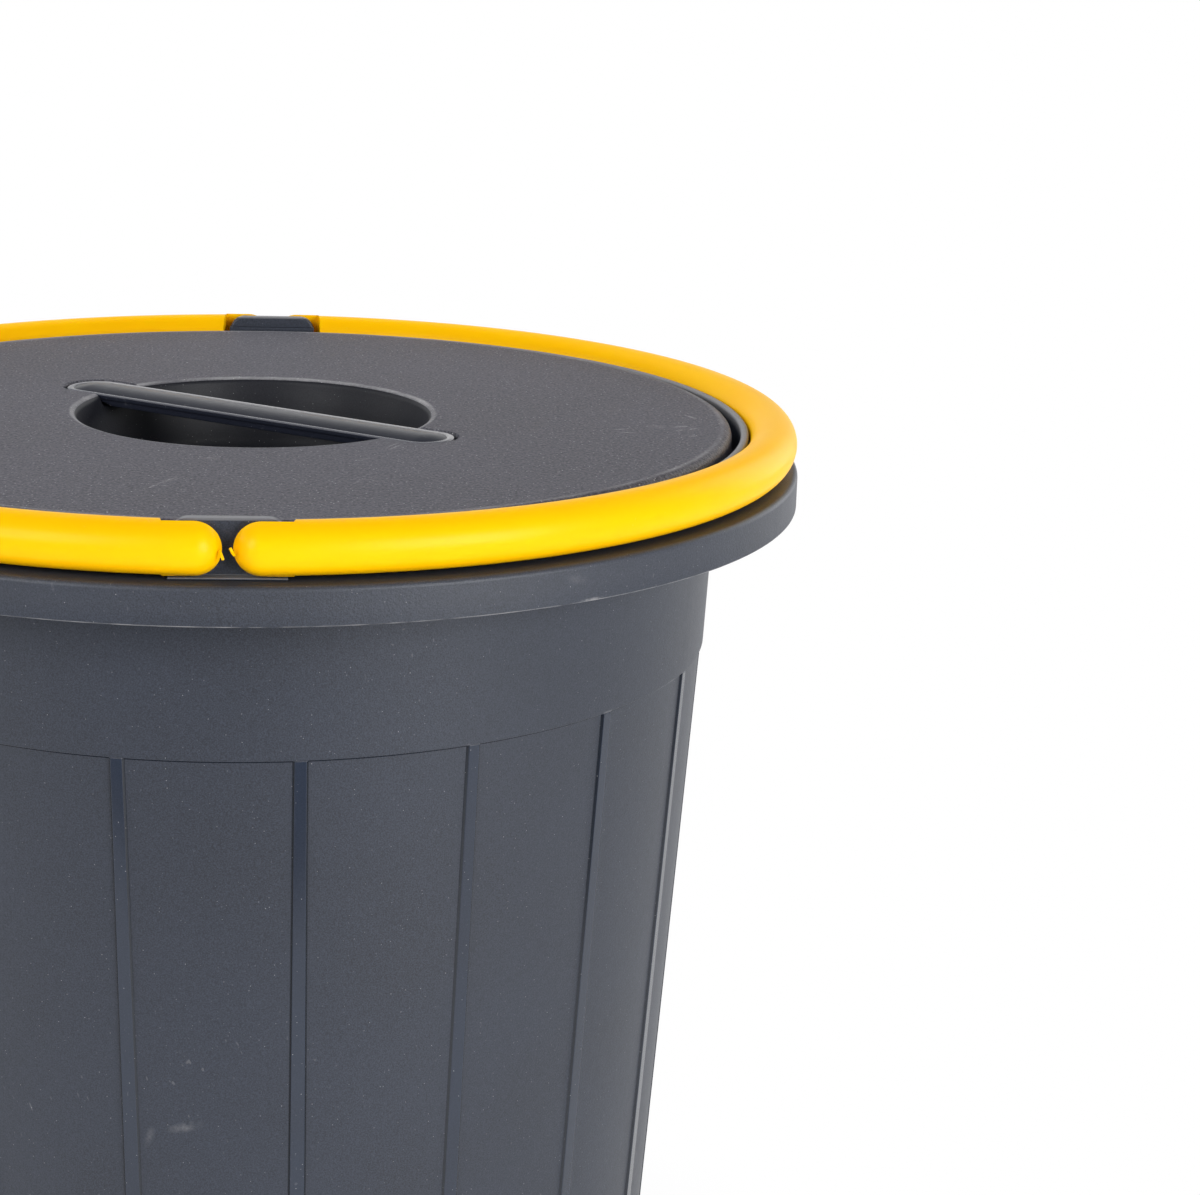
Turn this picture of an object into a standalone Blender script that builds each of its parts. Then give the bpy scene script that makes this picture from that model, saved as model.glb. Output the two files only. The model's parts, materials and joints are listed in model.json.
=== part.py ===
# Round dustbin with a drop-in lid and two carrying half rings that lie round the lid.
# Metres, +Z up. The origin is on the floor in the middle of the foot, and the ring hinges
# are at -Y (front) and +Y (rear), on axes that run along Y.

import math

import bmesh
import bpy
from mathutils import Matrix, Vector

for old_object in list(bpy.data.objects):
    bpy.data.objects.remove(old_object, do_unlink=True)

# Fits shared by all pieces
fit_gap = 0.0003
overrun = 0.0020
turn_steps = 72

# Bin body: tapered panels with a plain band above them, and a gate stub under the base
rim_height = 0.4200
band_height = 0.0661
band_taper = 0.0040
band_proud = 0.0011
band_chamfer = 0.0022
panel_taper = 0.0230
body_wall = 0.0024
foot_ring_width = 0.0050
foot_round = 0.0020
base_rise = 0.0050
base_wall = 0.0028
floor_fillet = 0.0080
mouth_round = 0.0010
gate_radius = 0.0030
gate_stub = 0.0012

# Bin body: flat upright ribs between the panels, almost as proud as the band they run into
panel_rib_count = 18
panel_rib_turn = math.radians(-2.7)
panel_rib_height = 0.0009
panel_rib_draft = 0.0004
panel_rib_top_width = 0.0047
panel_rib_foot_width = 0.0068
panel_rib_foot = 0.0140

# Bin body: rim flange with its skirt, the upstand round the lid, and gussets under the flange
flange_radius = 0.2000
flange_wall = 0.0026
flange_round = 0.0018
skirt_wall = 0.0026
skirt_height = 0.0127
upstand_gap = 0.0007
upstand_wall = 0.0029
upstand_height = 0.0129
upstand_round = 0.0010
ledge_inset = 0.0046
gusset_count = 18
gusset_wall = 0.0018
gusset_drop = 0.0090

# Lid: a shell with a round recess in the middle, an edge skirt and a locating ring
lid_gap = 0.0032
lid_height = 0.0138
lid_wall = 0.0022
lid_edge_round = 0.0035
lid_turn = math.radians(-35.0)
recess_radius = 0.0640
recess_floor_radius = 0.0600
recess_depth = 0.0295
recess_rim_round = 0.0030
recess_fillet = 0.0090
ring_clearance = 0.0019
ring_drop = 0.0080
ring_wall = 0.0020
rib_count = 12
rib_wall = 0.0016
rib_drop = 0.0060

# Grip bar across the recess, with its cap, rim bead, side walls and snap tongues
bar_overhang = 0.0215
bar_width = 0.0226
bar_end = 0.0100
bar_rise = 0.0001
bar_depth = 0.0044
cap_edge = 0.0018
bead_width = 0.0018
bead_sink = 0.0005
bead_shares = (0.25, 0.65)
crown_rise = 0.0011
crown_shares = (0.72, 0.45, 0.15)
web_inset = 0.0014
web_wall = 0.0020
web_end_gap = 0.0012
bar_rib_count = 3
tongue_width = 0.0090
tongue_wall = 0.0020
tongue_set_out = 0.0100
barb_reach = 0.0009
barb_height = 0.0014

# Pockets in the lid for the ends of the bar
pocket_depth = 0.0036
pocket_gap = 0.0024
slot_gap = 0.0004

# Half rings: a round bar bent to half a circle, with ball ends
tube_radius = 0.0085
ring_inset = 0.0007
rest_gap = 0.0013
tip_gap = 0.0033
notch_past_centre = 0.0012
notch_length = 0.0197
notch_round = 0.0016
bore_end_gap = 0.0004

# Hinge blocks: a tab with rounded shoulders, two studs and two snap legs
tab_width = 0.0360
tab_wall = 0.0044
tab_set_in = 0.0021
tab_shoulder = 0.0062
tab_edge_round = 0.0008
heel_gap = 0.0004
heel_rise = 0.0013
toe_reach = 0.0012
toe_height = 0.0009
stud_radius = 0.0026
stud_length = 0.0044
stud_chamfer = 0.0006
collar_radius = 0.0042
leg_width = 0.0080
leg_wall = 0.0022
leg_spread = 0.0100
hook_reach = 0.0010
hook_height = 0.0016

# Places worked out from the sizes above
ring_radius = flange_radius - ring_inset - tube_radius
upstand_radius = ring_radius - tube_radius - upstand_gap
lid_radius = upstand_radius - upstand_wall - lid_gap
band_top_radius = lid_radius - ledge_inset
panel_top_radius = band_top_radius - band_taper
foot_radius = panel_top_radius - panel_taper
band_foot_height = rim_height - band_height
upstand_top = rim_height + upstand_height
flange_under = rim_height - flange_wall
skirt_foot = rim_height - skirt_height
mouth_radius = band_top_radius - body_wall
lid_rest = rim_height + fit_gap
lid_top = lid_rest + lid_height
ring_height = rim_height + rest_gap + tube_radius
pivot_reach = tip_gap / 2 + tube_radius
notch_face = ring_radius + notch_past_centre
tab_outer = ring_radius - tab_set_in
tab_inner = tab_outer - tab_wall
leg_place = tab_outer - tab_wall / 2
bar_length = 2 * (recess_radius + bar_overhang)
tongue_place = recess_radius + tongue_set_out


def panel_radius(height):
    """Outer radius of the tapered panels at a height above the floor."""
    return foot_radius + (panel_top_radius - foot_radius) * height / band_foot_height


def plastic(name, colour, roughness):
    """A moulded polypropylene in the given linear colour."""
    finish = bpy.data.materials.new(name)
    finish.use_nodes = True
    shader = finish.node_tree.nodes["Principled BSDF"]
    shader.inputs["Base Color"].default_value = (*colour, 1.0)
    shader.inputs["Roughness"].default_value = roughness
    shader.inputs["Metallic"].default_value = 0.0
    return finish


def arc(centre, radius, start, end, count):
    """Points on an arc in a plane, from one angle in degrees to another."""
    points = []
    for step in range(count + 1):
        angle = math.radians(start + (end - start) * step / count)
        points.append((centre[0] + radius * math.cos(angle), centre[1] + radius * math.sin(angle)))
    return points


def place(name, mesh, finish=None):
    """Put a mesh into the scene as a named piece."""
    piece = bpy.data.objects.new(name, mesh)
    bpy.context.scene.collection.objects.link(piece)
    if finish is not None:
        mesh.materials.append(finish)
    return piece


def from_bmesh(name, work, finish=None):
    """Turn a finished bmesh into a named piece with its faces pointing out."""
    bmesh.ops.recalc_face_normals(work, faces=work.faces)
    mesh = bpy.data.meshes.new(name)
    work.to_mesh(mesh)
    work.free()
    return place(name, mesh, finish)


def turned(name, profile, finish=None):
    """Turn a profile of (radius, height) points, given down its outer side, about Z."""
    mesh = bpy.data.meshes.new(name)
    corners = [(radius, 0, height) for radius, height in profile]
    edges = [(index, index + 1) for index in range(len(corners) - 1)]
    mesh.from_pydata(corners, edges, [])
    piece = place(name, mesh, finish)
    screw = piece.modifiers.new("turn", "SCREW")
    screw.axis = "Z"
    screw.angle = math.tau
    screw.steps = turn_steps
    screw.render_steps = turn_steps
    screw.use_merge_vertices = True
    screw.merge_threshold = 0.00001
    screw.use_smooth_shade = True
    return piece


def add_prism(work, outline, low, high, frame):
    """Extrude a flat outline from one level to another, in the axes of a frame matrix."""
    ring = [work.verts.new(frame @ Vector((x, y, low))) for x, y in outline]
    face = work.faces.new(ring)
    grown = bmesh.ops.extrude_face_region(work, geom=[face])
    lift = frame.to_3x3() @ Vector((0, 0, high - low))
    moved = [item for item in grown["geom"] if isinstance(item, bmesh.types.BMVert)]
    bmesh.ops.translate(work, vec=lift, verts=moved)


def prism(name, outline, low, high, frame=Matrix.Identity(4)):
    """A piece that is one extruded outline."""
    work = bmesh.new()
    add_prism(work, outline, low, high, frame)
    return from_bmesh(name, work)


def rectangle(left, right, front, rear):
    """Corners of a rectangle."""
    return [(left, front), (right, front), (right, rear), (left, rear)]


def as_guide(piece):
    """Mark a piece as a tool for a Boolean only."""
    piece.hide_render = True
    piece.display_type = "WIRE"


def combine(piece, other, operation):
    """Cut, join or intersect a piece with another one, which becomes a guide."""
    step = piece.modifiers.new(other.name, "BOOLEAN")
    step.operation = operation
    step.solver = "EXACT"
    step.object = other
    as_guide(other)


def shade(piece):
    """Smooth shading with crisp edges."""
    piece.data.shade_smooth()
    piece.data.set_sharp_from_angle(angle=math.radians(35))


def settle(piece):
    """Replace a piece's mesh by what its modifiers make of it."""
    graph = bpy.context.evaluated_depsgraph_get()
    mesh = bpy.data.meshes.new_from_object(piece.evaluated_get(graph))
    piece.modifiers.clear()
    piece.data = mesh
    shade(piece)


anthracite = plastic("anthracite_polypropylene", (0.070, 0.072, 0.084), 0.50)
lid_grey = plastic("lid_grey_polypropylene", (0.105, 0.105, 0.112), 0.55)
yellow = plastic("yellow_polypropylene", (1.0, 0.61, 0.004), 0.38)


# Bin body

def body_profile():
    """Section of the bin body, from the middle of its floor round to the gate stub under it."""
    floor_height = base_rise + base_wall
    corner_height = floor_height + floor_fillet
    corner_radius = panel_radius(corner_height) - body_wall
    upstand_inner = upstand_radius - upstand_wall
    points = [(0, floor_height)]
    points += arc((corner_radius - floor_fillet, corner_height), floor_fillet, -90, 0, 4)
    points.append((panel_top_radius - body_wall, band_foot_height))
    points += arc((mouth_radius + mouth_round, rim_height - mouth_round), mouth_round, 180, 90, 2)
    points.append((upstand_inner, rim_height))
    points += arc((upstand_inner + upstand_round, upstand_top - upstand_round), upstand_round, 180, 90, 2)
    points += arc((upstand_radius - upstand_round, upstand_top - upstand_round), upstand_round, 90, 0, 2)
    points.append((upstand_radius, rim_height))
    points += arc((flange_radius - flange_round, rim_height - flange_round), flange_round, 90, 0, 3)
    points.append((flange_radius, skirt_foot))
    points.append((flange_radius - skirt_wall, skirt_foot))
    points.append((flange_radius - skirt_wall, flange_under))
    points.append((band_top_radius, flange_under))
    points.append((panel_top_radius + band_proud, band_foot_height + band_chamfer))
    points.append((panel_top_radius, band_foot_height))
    points += arc((foot_radius - foot_round, foot_round), foot_round, 0, -90, 2)
    points.append((foot_radius - foot_ring_width, 0))
    points.append((foot_radius - foot_ring_width, base_rise))
    points.append((gate_radius, base_rise))
    points.append((gate_radius, base_rise - gate_stub))
    points.append((0, base_rise - gate_stub))
    return points


def panel_ribs():
    """One tapered bar for each rib, with drafted sides, a sloped foot and its top in the band."""
    work = bmesh.new()
    levels = [
        (panel_rib_foot - panel_rib_height, panel_rib_foot_width, -fit_gap),
        (panel_rib_foot, panel_rib_foot_width, panel_rib_height),
        (band_foot_height + band_chamfer, panel_rib_top_width, panel_rib_height),
    ]
    slant = panel_rib_draft / panel_rib_height
    for index in range(panel_rib_count):
        turn = Matrix.Rotation(panel_rib_turn + index * math.tau / panel_rib_count, 4, "Z")
        rings = []
        for height, width, proud in levels:
            root = -body_wall / 2
            ring = []
            for offset, side in ((root, -1), (proud, -1), (proud, 1), (root, 1)):
                reach = panel_radius(height) + offset
                sideways = side * (width / 2 - slant * offset)
                ring.append(work.verts.new(turn @ Vector((reach, sideways, height))))
            rings.append(ring)
        work.faces.new(reversed(rings[0]))
        work.faces.new(rings[-1])
        for lower, upper in zip(rings, rings[1:]):
            for side in range(4):
                after = (side + 1) % 4
                work.faces.new((lower[side], lower[after], upper[after], upper[side]))
    return from_bmesh("panel_ribs", work)


def rim_gussets():
    """Thin upright plates that join the flange, its skirt and the body under the rim."""
    work = bmesh.new()
    inner = band_top_radius - body_wall / 2
    outer = flange_radius - skirt_wall / 2
    top = rim_height - flange_wall / 2
    outline = [
        (inner, top),
        (inner, flange_under - gusset_drop),
        (outer - skirt_wall, skirt_foot + skirt_wall),
        (outer, skirt_foot + skirt_wall),
        (outer, top),
    ]
    for index in range(gusset_count):
        turn = Matrix.Rotation((index + 0.5) * math.tau / gusset_count, 4, "Z")
        stand = turn @ Matrix.Rotation(math.radians(90), 4, "X")
        add_prism(work, outline, -gusset_wall / 2, gusset_wall / 2, stand)
    return from_bmesh("rim_gussets", work)


def leg_slots():
    """Slots through the flange for the snap legs of both hinge blocks."""
    work = bmesh.new()
    slot_front = leg_place - leg_wall / 2 - slot_gap
    slot_rear = leg_place + leg_wall / 2 + hook_reach + slot_gap
    half = leg_width / 2 + slot_gap
    for side in (-1, 1):
        for end in (-1, 1):
            middle = side * leg_spread
            outline = rectangle(middle - half, middle + half, end * slot_front, end * slot_rear)
            low = flange_under - overrun
            add_prism(work, outline, low, rim_height + overrun, Matrix.Identity(4))
    return from_bmesh("leg_slots", work)


bin_body = turned("bin_body", body_profile(), anthracite)
combine(bin_body, rim_gussets(), "UNION")
combine(bin_body, panel_ribs(), "UNION")
combine(bin_body, leg_slots(), "DIFFERENCE")
settle(bin_body)


# Lid, modelled with the grip bar along X and then turned on the bin

def lid_profile():
    """Section of the lid, from the middle of the recess floor over the edge and back under."""
    deck_under = lid_top - lid_wall
    floor_top = lid_top - recess_depth
    fillet_centre = recess_floor_radius - recess_fillet
    locating = mouth_radius - ring_clearance
    ring_foot = rim_height - ring_drop
    points = [(0, floor_top)]
    points += arc((fillet_centre, floor_top + recess_fillet), recess_fillet, -90, 0, 4)
    points += arc((recess_radius + recess_rim_round, lid_top - recess_rim_round), recess_rim_round, 180, 90, 3)
    points += arc((lid_radius - lid_edge_round, lid_top - lid_edge_round), lid_edge_round, 90, 0, 4)
    points.append((lid_radius, lid_rest))
    points.append((lid_radius - lid_wall, lid_rest))
    points.append((lid_radius - lid_wall, deck_under))
    points.append((locating, deck_under))
    points.append((locating, ring_foot))
    points.append((locating - ring_wall, ring_foot))
    points.append((locating - ring_wall, deck_under))
    points.append((recess_radius + lid_wall, deck_under))
    outer_fillet = recess_fillet + lid_wall
    points += arc((fillet_centre, floor_top + recess_fillet), outer_fillet, 0, -90, 4)
    points.append((0, floor_top - lid_wall))
    return points


def bar_outline(inset, steps=8):
    """Outline of the grip bar drawn in by an inset: straight sides and half-ellipse ends."""
    half_width = bar_width / 2 - inset
    end_depth = bar_end - inset * bar_end / (bar_width / 2)
    straight = bar_length / 2 - inset - end_depth
    points = []
    for middle, start in ((straight, -90), (-straight, 90)):
        for step in range(steps + 1):
            angle = math.radians(start + 180 * step / steps)
            points.append((middle + end_depth * math.cos(angle), half_width * math.sin(angle)))
    return points


def pocket_bosses():
    """Thicker places under the deck that hold the two pockets, from the recess wall outwards."""
    work = bmesh.new()
    low = lid_top - pocket_depth - lid_wall
    high = lid_top - lid_wall / 2
    root = recess_radius + lid_wall / 2
    outside = bar_outline(-(pocket_gap + lid_wall))
    end_points = [(x, y) for x, y in outside if x > 0]
    reach = end_points[0][1]
    tilt = math.degrees(math.asin(-reach / root))
    root_points = arc((0, 0), root, tilt, -tilt, 6)
    for turn in (0, math.pi):
        frame = Matrix.Rotation(turn, 4, "Z")
        add_prism(work, end_points + root_points, low, high, frame)
    return from_bmesh("pocket_bosses", work)


def deck_ribs():
    """Radial ribs under the deck, from the recess wall to the locating ring."""
    work = bmesh.new()
    inner = recess_radius + lid_wall / 2
    outer = mouth_radius - ring_clearance - ring_wall / 2
    low = lid_top - lid_wall - rib_drop
    high = lid_top - lid_wall / 2
    for index in range(rib_count):
        turn = Matrix.Rotation((index + 0.5) * math.tau / rib_count, 4, "Z")
        add_prism(work, rectangle(inner, outer, -rib_wall / 2, rib_wall / 2), low, high, turn)
    return from_bmesh("deck_ribs", work)


def tongue_slots():
    """Slots in the pocket floors for the snap tongues of the grip bar."""
    work = bmesh.new()
    near = tongue_place - tongue_wall / 2 - slot_gap
    far = tongue_place + tongue_wall / 2 + barb_reach + slot_gap
    half = tongue_width / 2 + slot_gap
    low = lid_top - pocket_depth - lid_wall - overrun
    for turn in (0, math.pi):
        frame = Matrix.Rotation(turn, 4, "Z")
        add_prism(work, rectangle(near, far, -half, half), low, lid_top, frame)
    return from_bmesh("tongue_slots", work)


lid = turned("lid", lid_profile(), lid_grey)
combine(lid, pocket_bosses(), "UNION")
combine(lid, deck_ribs(), "UNION")
pocket_floor = lid_top - pocket_depth
pocket_cutter = prism("pocket_cutter", bar_outline(-pocket_gap), pocket_floor, lid_top + overrun)
combine(lid, pocket_cutter, "DIFFERENCE")
combine(lid, tongue_slots(), "DIFFERENCE")
settle(lid)
lid.rotation_euler.z = lid_turn


# Grip bar

def bar_cap():
    """Crowned cap of the bar, with a raised bead round its edge."""
    rim_top = lid_top + bar_rise
    bead_foot = rim_top - bead_sink
    loops = [
        (bead_sink, rim_top - cap_edge),
        (0, rim_top - cap_edge + bead_sink),
        (0, rim_top - bead_sink),
    ]
    loops += [(bead_width * share, rim_top) for share in bead_shares]
    loops.append((bead_width, bead_foot))
    inner_width = bar_width / 2 - bead_width
    for share in crown_shares:
        inset = bar_width / 2 - inner_width * share
        loops.append((inset, bead_foot + crown_rise * (1 - share * share)))
    work = bmesh.new()
    rings = []
    for inset, height in loops:
        rings.append([work.verts.new((x, y, height)) for x, y in bar_outline(inset)])
    for lower, upper in zip(rings, rings[1:]):
        count = len(lower)
        for index in range(count):
            after = (index + 1) % count
            work.faces.new((lower[index], lower[after], upper[after], upper[index]))
    work.faces.new(reversed(rings[0]))
    work.faces.new(rings[-1])
    return from_bmesh("lid_grip_bar", work, lid_grey)


def bar_walls():
    """Side walls under the cap, deeper where the bar crosses the recess."""
    work = bmesh.new()
    high = lid_top + bar_rise - cap_edge + fit_gap
    seat = pocket_floor + fit_gap
    foot = lid_top - bar_depth
    half_width = bar_width / 2 - web_inset
    reach = math.sqrt(recess_radius ** 2 - half_width ** 2) - web_end_gap
    add_prism(work, bar_outline(web_inset), seat, high, Matrix.Identity(4))
    walls = from_bmesh("bar_walls", work)
    deep = prism("bar_deep_walls", rectangle(-reach, reach, -half_width, half_width), foot, high)
    combine(walls, deep, "UNION")
    hollow = prism("bar_hollow", bar_outline(web_inset + web_wall), foot - overrun, high + overrun)
    combine(walls, hollow, "DIFFERENCE")
    return walls


def bar_ribs():
    """Cross ribs inside the bar between its side walls."""
    work = bmesh.new()
    half_width = bar_width / 2 - web_inset - web_wall / 2
    low = lid_top - bar_depth + fit_gap
    high = lid_top + bar_rise - cap_edge + fit_gap
    spacing = recess_radius / (bar_rib_count - 1)
    for index in range(bar_rib_count):
        middle = (index - (bar_rib_count - 1) / 2) * spacing
        outline = rectangle(middle - web_wall / 2, middle + web_wall / 2, -half_width, half_width)
        add_prism(work, outline, low, high, Matrix.Identity(4))
    return from_bmesh("bar_ribs", work)


def snap_tongues():
    """Two tongues with barbs that catch under the pocket floors."""
    work = bmesh.new()
    high = lid_top + bar_rise - cap_edge + fit_gap
    catch = pocket_floor - lid_wall - fit_gap
    near = tongue_place - tongue_wall / 2
    far = tongue_place + tongue_wall / 2
    outline = [
        (near, high),
        (near, catch - barb_height),
        (far, catch - barb_height),
        (far + barb_reach, catch),
        (far, catch),
        (far, high),
    ]
    for turn in (0, math.pi):
        stand = Matrix.Rotation(turn, 4, "Z") @ Matrix.Rotation(math.radians(90), 4, "X")
        add_prism(work, outline, -tongue_width / 2, tongue_width / 2, stand)
    return from_bmesh("snap_tongues", work)


lid_grip_bar = bar_cap()
combine(lid_grip_bar, bar_walls(), "UNION")
combine(lid_grip_bar, bar_ribs(), "UNION")
combine(lid_grip_bar, snap_tongues(), "UNION")
settle(lid_grip_bar)
lid_grip_bar.parent = lid


# Carrying half rings, one mesh with its origin on the hinge axis

def half_ring_mesh():
    """A round bar bent round the rim, ball ends on the hinge axis, notched and bored there."""
    bends = 36
    sides = 16
    cap_steps = 4
    end_angle = math.acos(pivot_reach / ring_radius)
    work = bmesh.new()
    rings = []
    for step in range(-cap_steps + 1, bends + cap_steps):
        bend = min(max(step, 0), bends)
        angle = end_angle * (2 * bend / bends - 1)
        outward = Vector((math.cos(angle), math.sin(angle), 0))
        along = Vector((-math.sin(angle), math.cos(angle), 0))
        swell = (step - bend) * math.pi / 2 / cap_steps
        centre = outward * ring_radius + along * tube_radius * math.sin(swell)
        radius = tube_radius * math.cos(swell)
        ring = []
        for side in range(sides):
            turn = math.tau * side / sides
            offset = outward * math.cos(turn) + Vector((0, 0, math.sin(turn)))
            ring.append(work.verts.new(centre + offset * radius))
        rings.append(ring)
    for before, after in zip(rings, rings[1:]):
        for side in range(sides):
            following = (side + 1) % sides
            work.faces.new((before[side], before[following], after[following], after[side]))
    for ring, sign in ((rings[0], -1), (rings[-1], 1)):
        angle = sign * end_angle
        along = Vector((-math.sin(angle), math.cos(angle), 0)) * sign
        centre = Vector((math.cos(angle), math.sin(angle), 0)) * ring_radius
        pole = work.verts.new(centre + along * tube_radius)
        for side in range(sides):
            work.faces.new((ring[side], ring[(side + 1) % sides], pole))
    bmesh.ops.translate(work, vec=Vector((-pivot_reach, 0, 0)), verts=work.verts)
    ring_piece = from_bmesh("half_ring", work, yellow)
    combine(ring_piece, end_notches(), "DIFFERENCE")
    combine(ring_piece, stud_bores(), "DIFFERENCE")
    settle(ring_piece)
    as_guide(ring_piece)
    return ring_piece.data


def end_notches():
    """Cutters that take the inner half off both ends of a half ring."""
    work = bmesh.new()
    inner = ring_radius - tube_radius - overrun
    near = -pivot_reach - tube_radius
    far = notch_length - pivot_reach
    for end in (-1, 1):
        outline = [(near, notch_face), (far, notch_face)]
        corner_height = ring_radius - tube_radius + notch_round
        outline += arc((far + notch_round, corner_height), notch_round, 180, 270, 4)
        outline += [(far + notch_round, inner), (near, inner)]
        placed = [(x, end * y) for x, y in outline]
        low = -tube_radius - overrun
        add_prism(work, placed, low, tube_radius + overrun, Matrix.Identity(4))
    return from_bmesh("end_notches", work)


def stud_bores():
    """Blind bores in the flat faces of the notches, on the hinge axis."""
    work = bmesh.new()
    depth = stud_length + bore_end_gap
    for end in (-1, 1):
        lie = Matrix.Rotation(math.radians(-90 * end), 4, "X")
        outline = arc((0, 0), stud_radius + fit_gap, 0, 360, 16)[:-1]
        add_prism(work, outline, notch_face - overrun, notch_face + depth, lie)
    return from_bmesh("stud_bores", work)


ring_mesh = half_ring_mesh()
for ring_name, ring_side in (("handle_left", -1), ("handle_right", 1)):
    half_ring = place(ring_name, ring_mesh)
    half_ring.location = (ring_side * pivot_reach, 0, ring_height)
    if ring_side < 0:
        half_ring.rotation_euler.z = math.pi


# Hinge blocks

def tab_outline(inset):
    """Front view of the tab, drawn in by an inset: straight sides and rounded shoulders."""
    half = tab_width / 2 - inset
    foot = rim_height + fit_gap + inset
    shoulder = tab_shoulder - inset
    shoulder_height = ring_height + tube_radius - tab_shoulder
    points = [(-half, foot), (half, foot)]
    points += arc((half - shoulder, shoulder_height), shoulder, 0, 90, 5)
    points += arc((shoulder - half, shoulder_height), shoulder, 90, 180, 5)
    return points


def block_mesh():
    """Tab with rounded shoulders, heel and toe, studs with collars, and snap legs."""
    half = tab_width / 2
    foot = rim_height + fit_gap
    heel = upstand_radius + heel_gap
    heel_top = upstand_top + heel_rise
    loops = arc((tab_edge_round, tab_inner + tab_edge_round), tab_edge_round, 270, 180, 2)
    loops += arc((tab_edge_round, tab_outer - tab_edge_round), tab_edge_round, 180, 90, 2)
    work = bmesh.new()
    rings = []
    for inset, reach in loops:
        rings.append([work.verts.new((x, -reach, z)) for x, z in tab_outline(inset)])
    for before, after in zip(rings, rings[1:]):
        count = len(before)
        for index in range(count):
            following = (index + 1) % count
            work.faces.new((before[index], before[following], after[following], after[index]))
    work.faces.new(rings[0])
    work.faces.new(rings[-1])
    block = from_bmesh("hinge_block", work, anthracite)
    heel_outline = rectangle(-half, half, -leg_place, -heel)
    combine(block, prism("heel", heel_outline, foot, heel_top), "UNION")
    toe_outline = rectangle(-half, half, -tab_outer - toe_reach, -leg_place)
    combine(block, prism("toe", toe_outline, foot, foot + toe_height), "UNION")
    combine(block, hinge_studs(), "UNION")
    combine(block, snap_legs(), "UNION")
    settle(block)
    as_guide(block)
    return block.data


def hinge_studs():
    """Two studs with collars that carry the ends of both half rings."""
    collar_end = notch_face - fit_gap
    stud_end = notch_face + stud_length
    profile = [
        (stud_radius - stud_chamfer, stud_end),
        (stud_radius, stud_end - stud_chamfer),
        (stud_radius, collar_end),
        (collar_radius, collar_end),
        (collar_radius, leg_place),
    ]
    spin = 16
    work = bmesh.new()
    for side in (-1, 1):
        centre = Vector((side * pivot_reach, 0, ring_height))
        rings = []
        for radius, reach in profile:
            ring = []
            for index in range(spin):
                angle = math.tau * index / spin
                shift = Vector((radius * math.cos(angle), -reach, radius * math.sin(angle)))
                ring.append(work.verts.new(centre + shift))
            rings.append(ring)
        work.faces.new(rings[0])
        work.faces.new(rings[-1])
        for before, after in zip(rings, rings[1:]):
            for index in range(spin):
                following = (index + 1) % spin
                work.faces.new((before[index], before[following], after[following], after[index]))
    return from_bmesh("hinge_studs", work)


def snap_legs():
    """Two legs with hooks that catch under the flange."""
    work = bmesh.new()
    root = rim_height + fit_gap + toe_height
    catch = flange_under - fit_gap
    near = -leg_place - leg_wall / 2
    far = -leg_place + leg_wall / 2
    outline = [
        (far, root),
        (near, root),
        (near, catch),
        (near - hook_reach, catch),
        (near, catch - hook_height),
        (far, catch - hook_height),
    ]
    along_x = Matrix.Rotation(math.radians(90), 4, "Z") @ Matrix.Rotation(math.radians(90), 4, "X")
    for side in (-1, 1):
        middle = side * leg_spread
        add_prism(work, outline, middle - leg_width / 2, middle + leg_width / 2, along_x)
    return from_bmesh("snap_legs", work)


shared_block = block_mesh()
for block_name, block_turn in (("hinge_block_front", 0), ("hinge_block_rear", math.pi)):
    hinge_block = place(block_name, shared_block)
    hinge_block.rotation_euler.z = block_turn
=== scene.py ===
import json
import math

import bmesh
import bpy
from mathutils import Matrix, Vector


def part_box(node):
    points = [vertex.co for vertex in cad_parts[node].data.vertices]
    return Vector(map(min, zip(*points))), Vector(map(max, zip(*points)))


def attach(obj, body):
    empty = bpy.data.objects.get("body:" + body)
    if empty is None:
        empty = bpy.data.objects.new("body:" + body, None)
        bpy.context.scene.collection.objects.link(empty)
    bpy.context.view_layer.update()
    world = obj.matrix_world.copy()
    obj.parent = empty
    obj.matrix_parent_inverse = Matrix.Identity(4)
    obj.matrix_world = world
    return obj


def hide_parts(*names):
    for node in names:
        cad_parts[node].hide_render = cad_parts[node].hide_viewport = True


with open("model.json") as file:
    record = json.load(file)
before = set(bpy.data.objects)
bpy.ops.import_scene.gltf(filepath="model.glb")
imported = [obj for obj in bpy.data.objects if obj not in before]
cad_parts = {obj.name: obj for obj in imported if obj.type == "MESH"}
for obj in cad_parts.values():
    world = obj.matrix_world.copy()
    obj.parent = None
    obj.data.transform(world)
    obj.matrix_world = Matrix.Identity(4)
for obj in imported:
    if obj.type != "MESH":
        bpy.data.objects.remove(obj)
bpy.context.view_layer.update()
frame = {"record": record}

bpy.context.scene.view_settings.view_transform = "Standard"

# Studio: the bin stands on a pale board in a white room. The main softbox stands at the right
# of the camera, and weaker ones at its left, low in front and at both sides of the bin. The one
# behind the bin hangs in a honeycomb grid, so it lights the lid but gloss doesn't show it.

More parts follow.
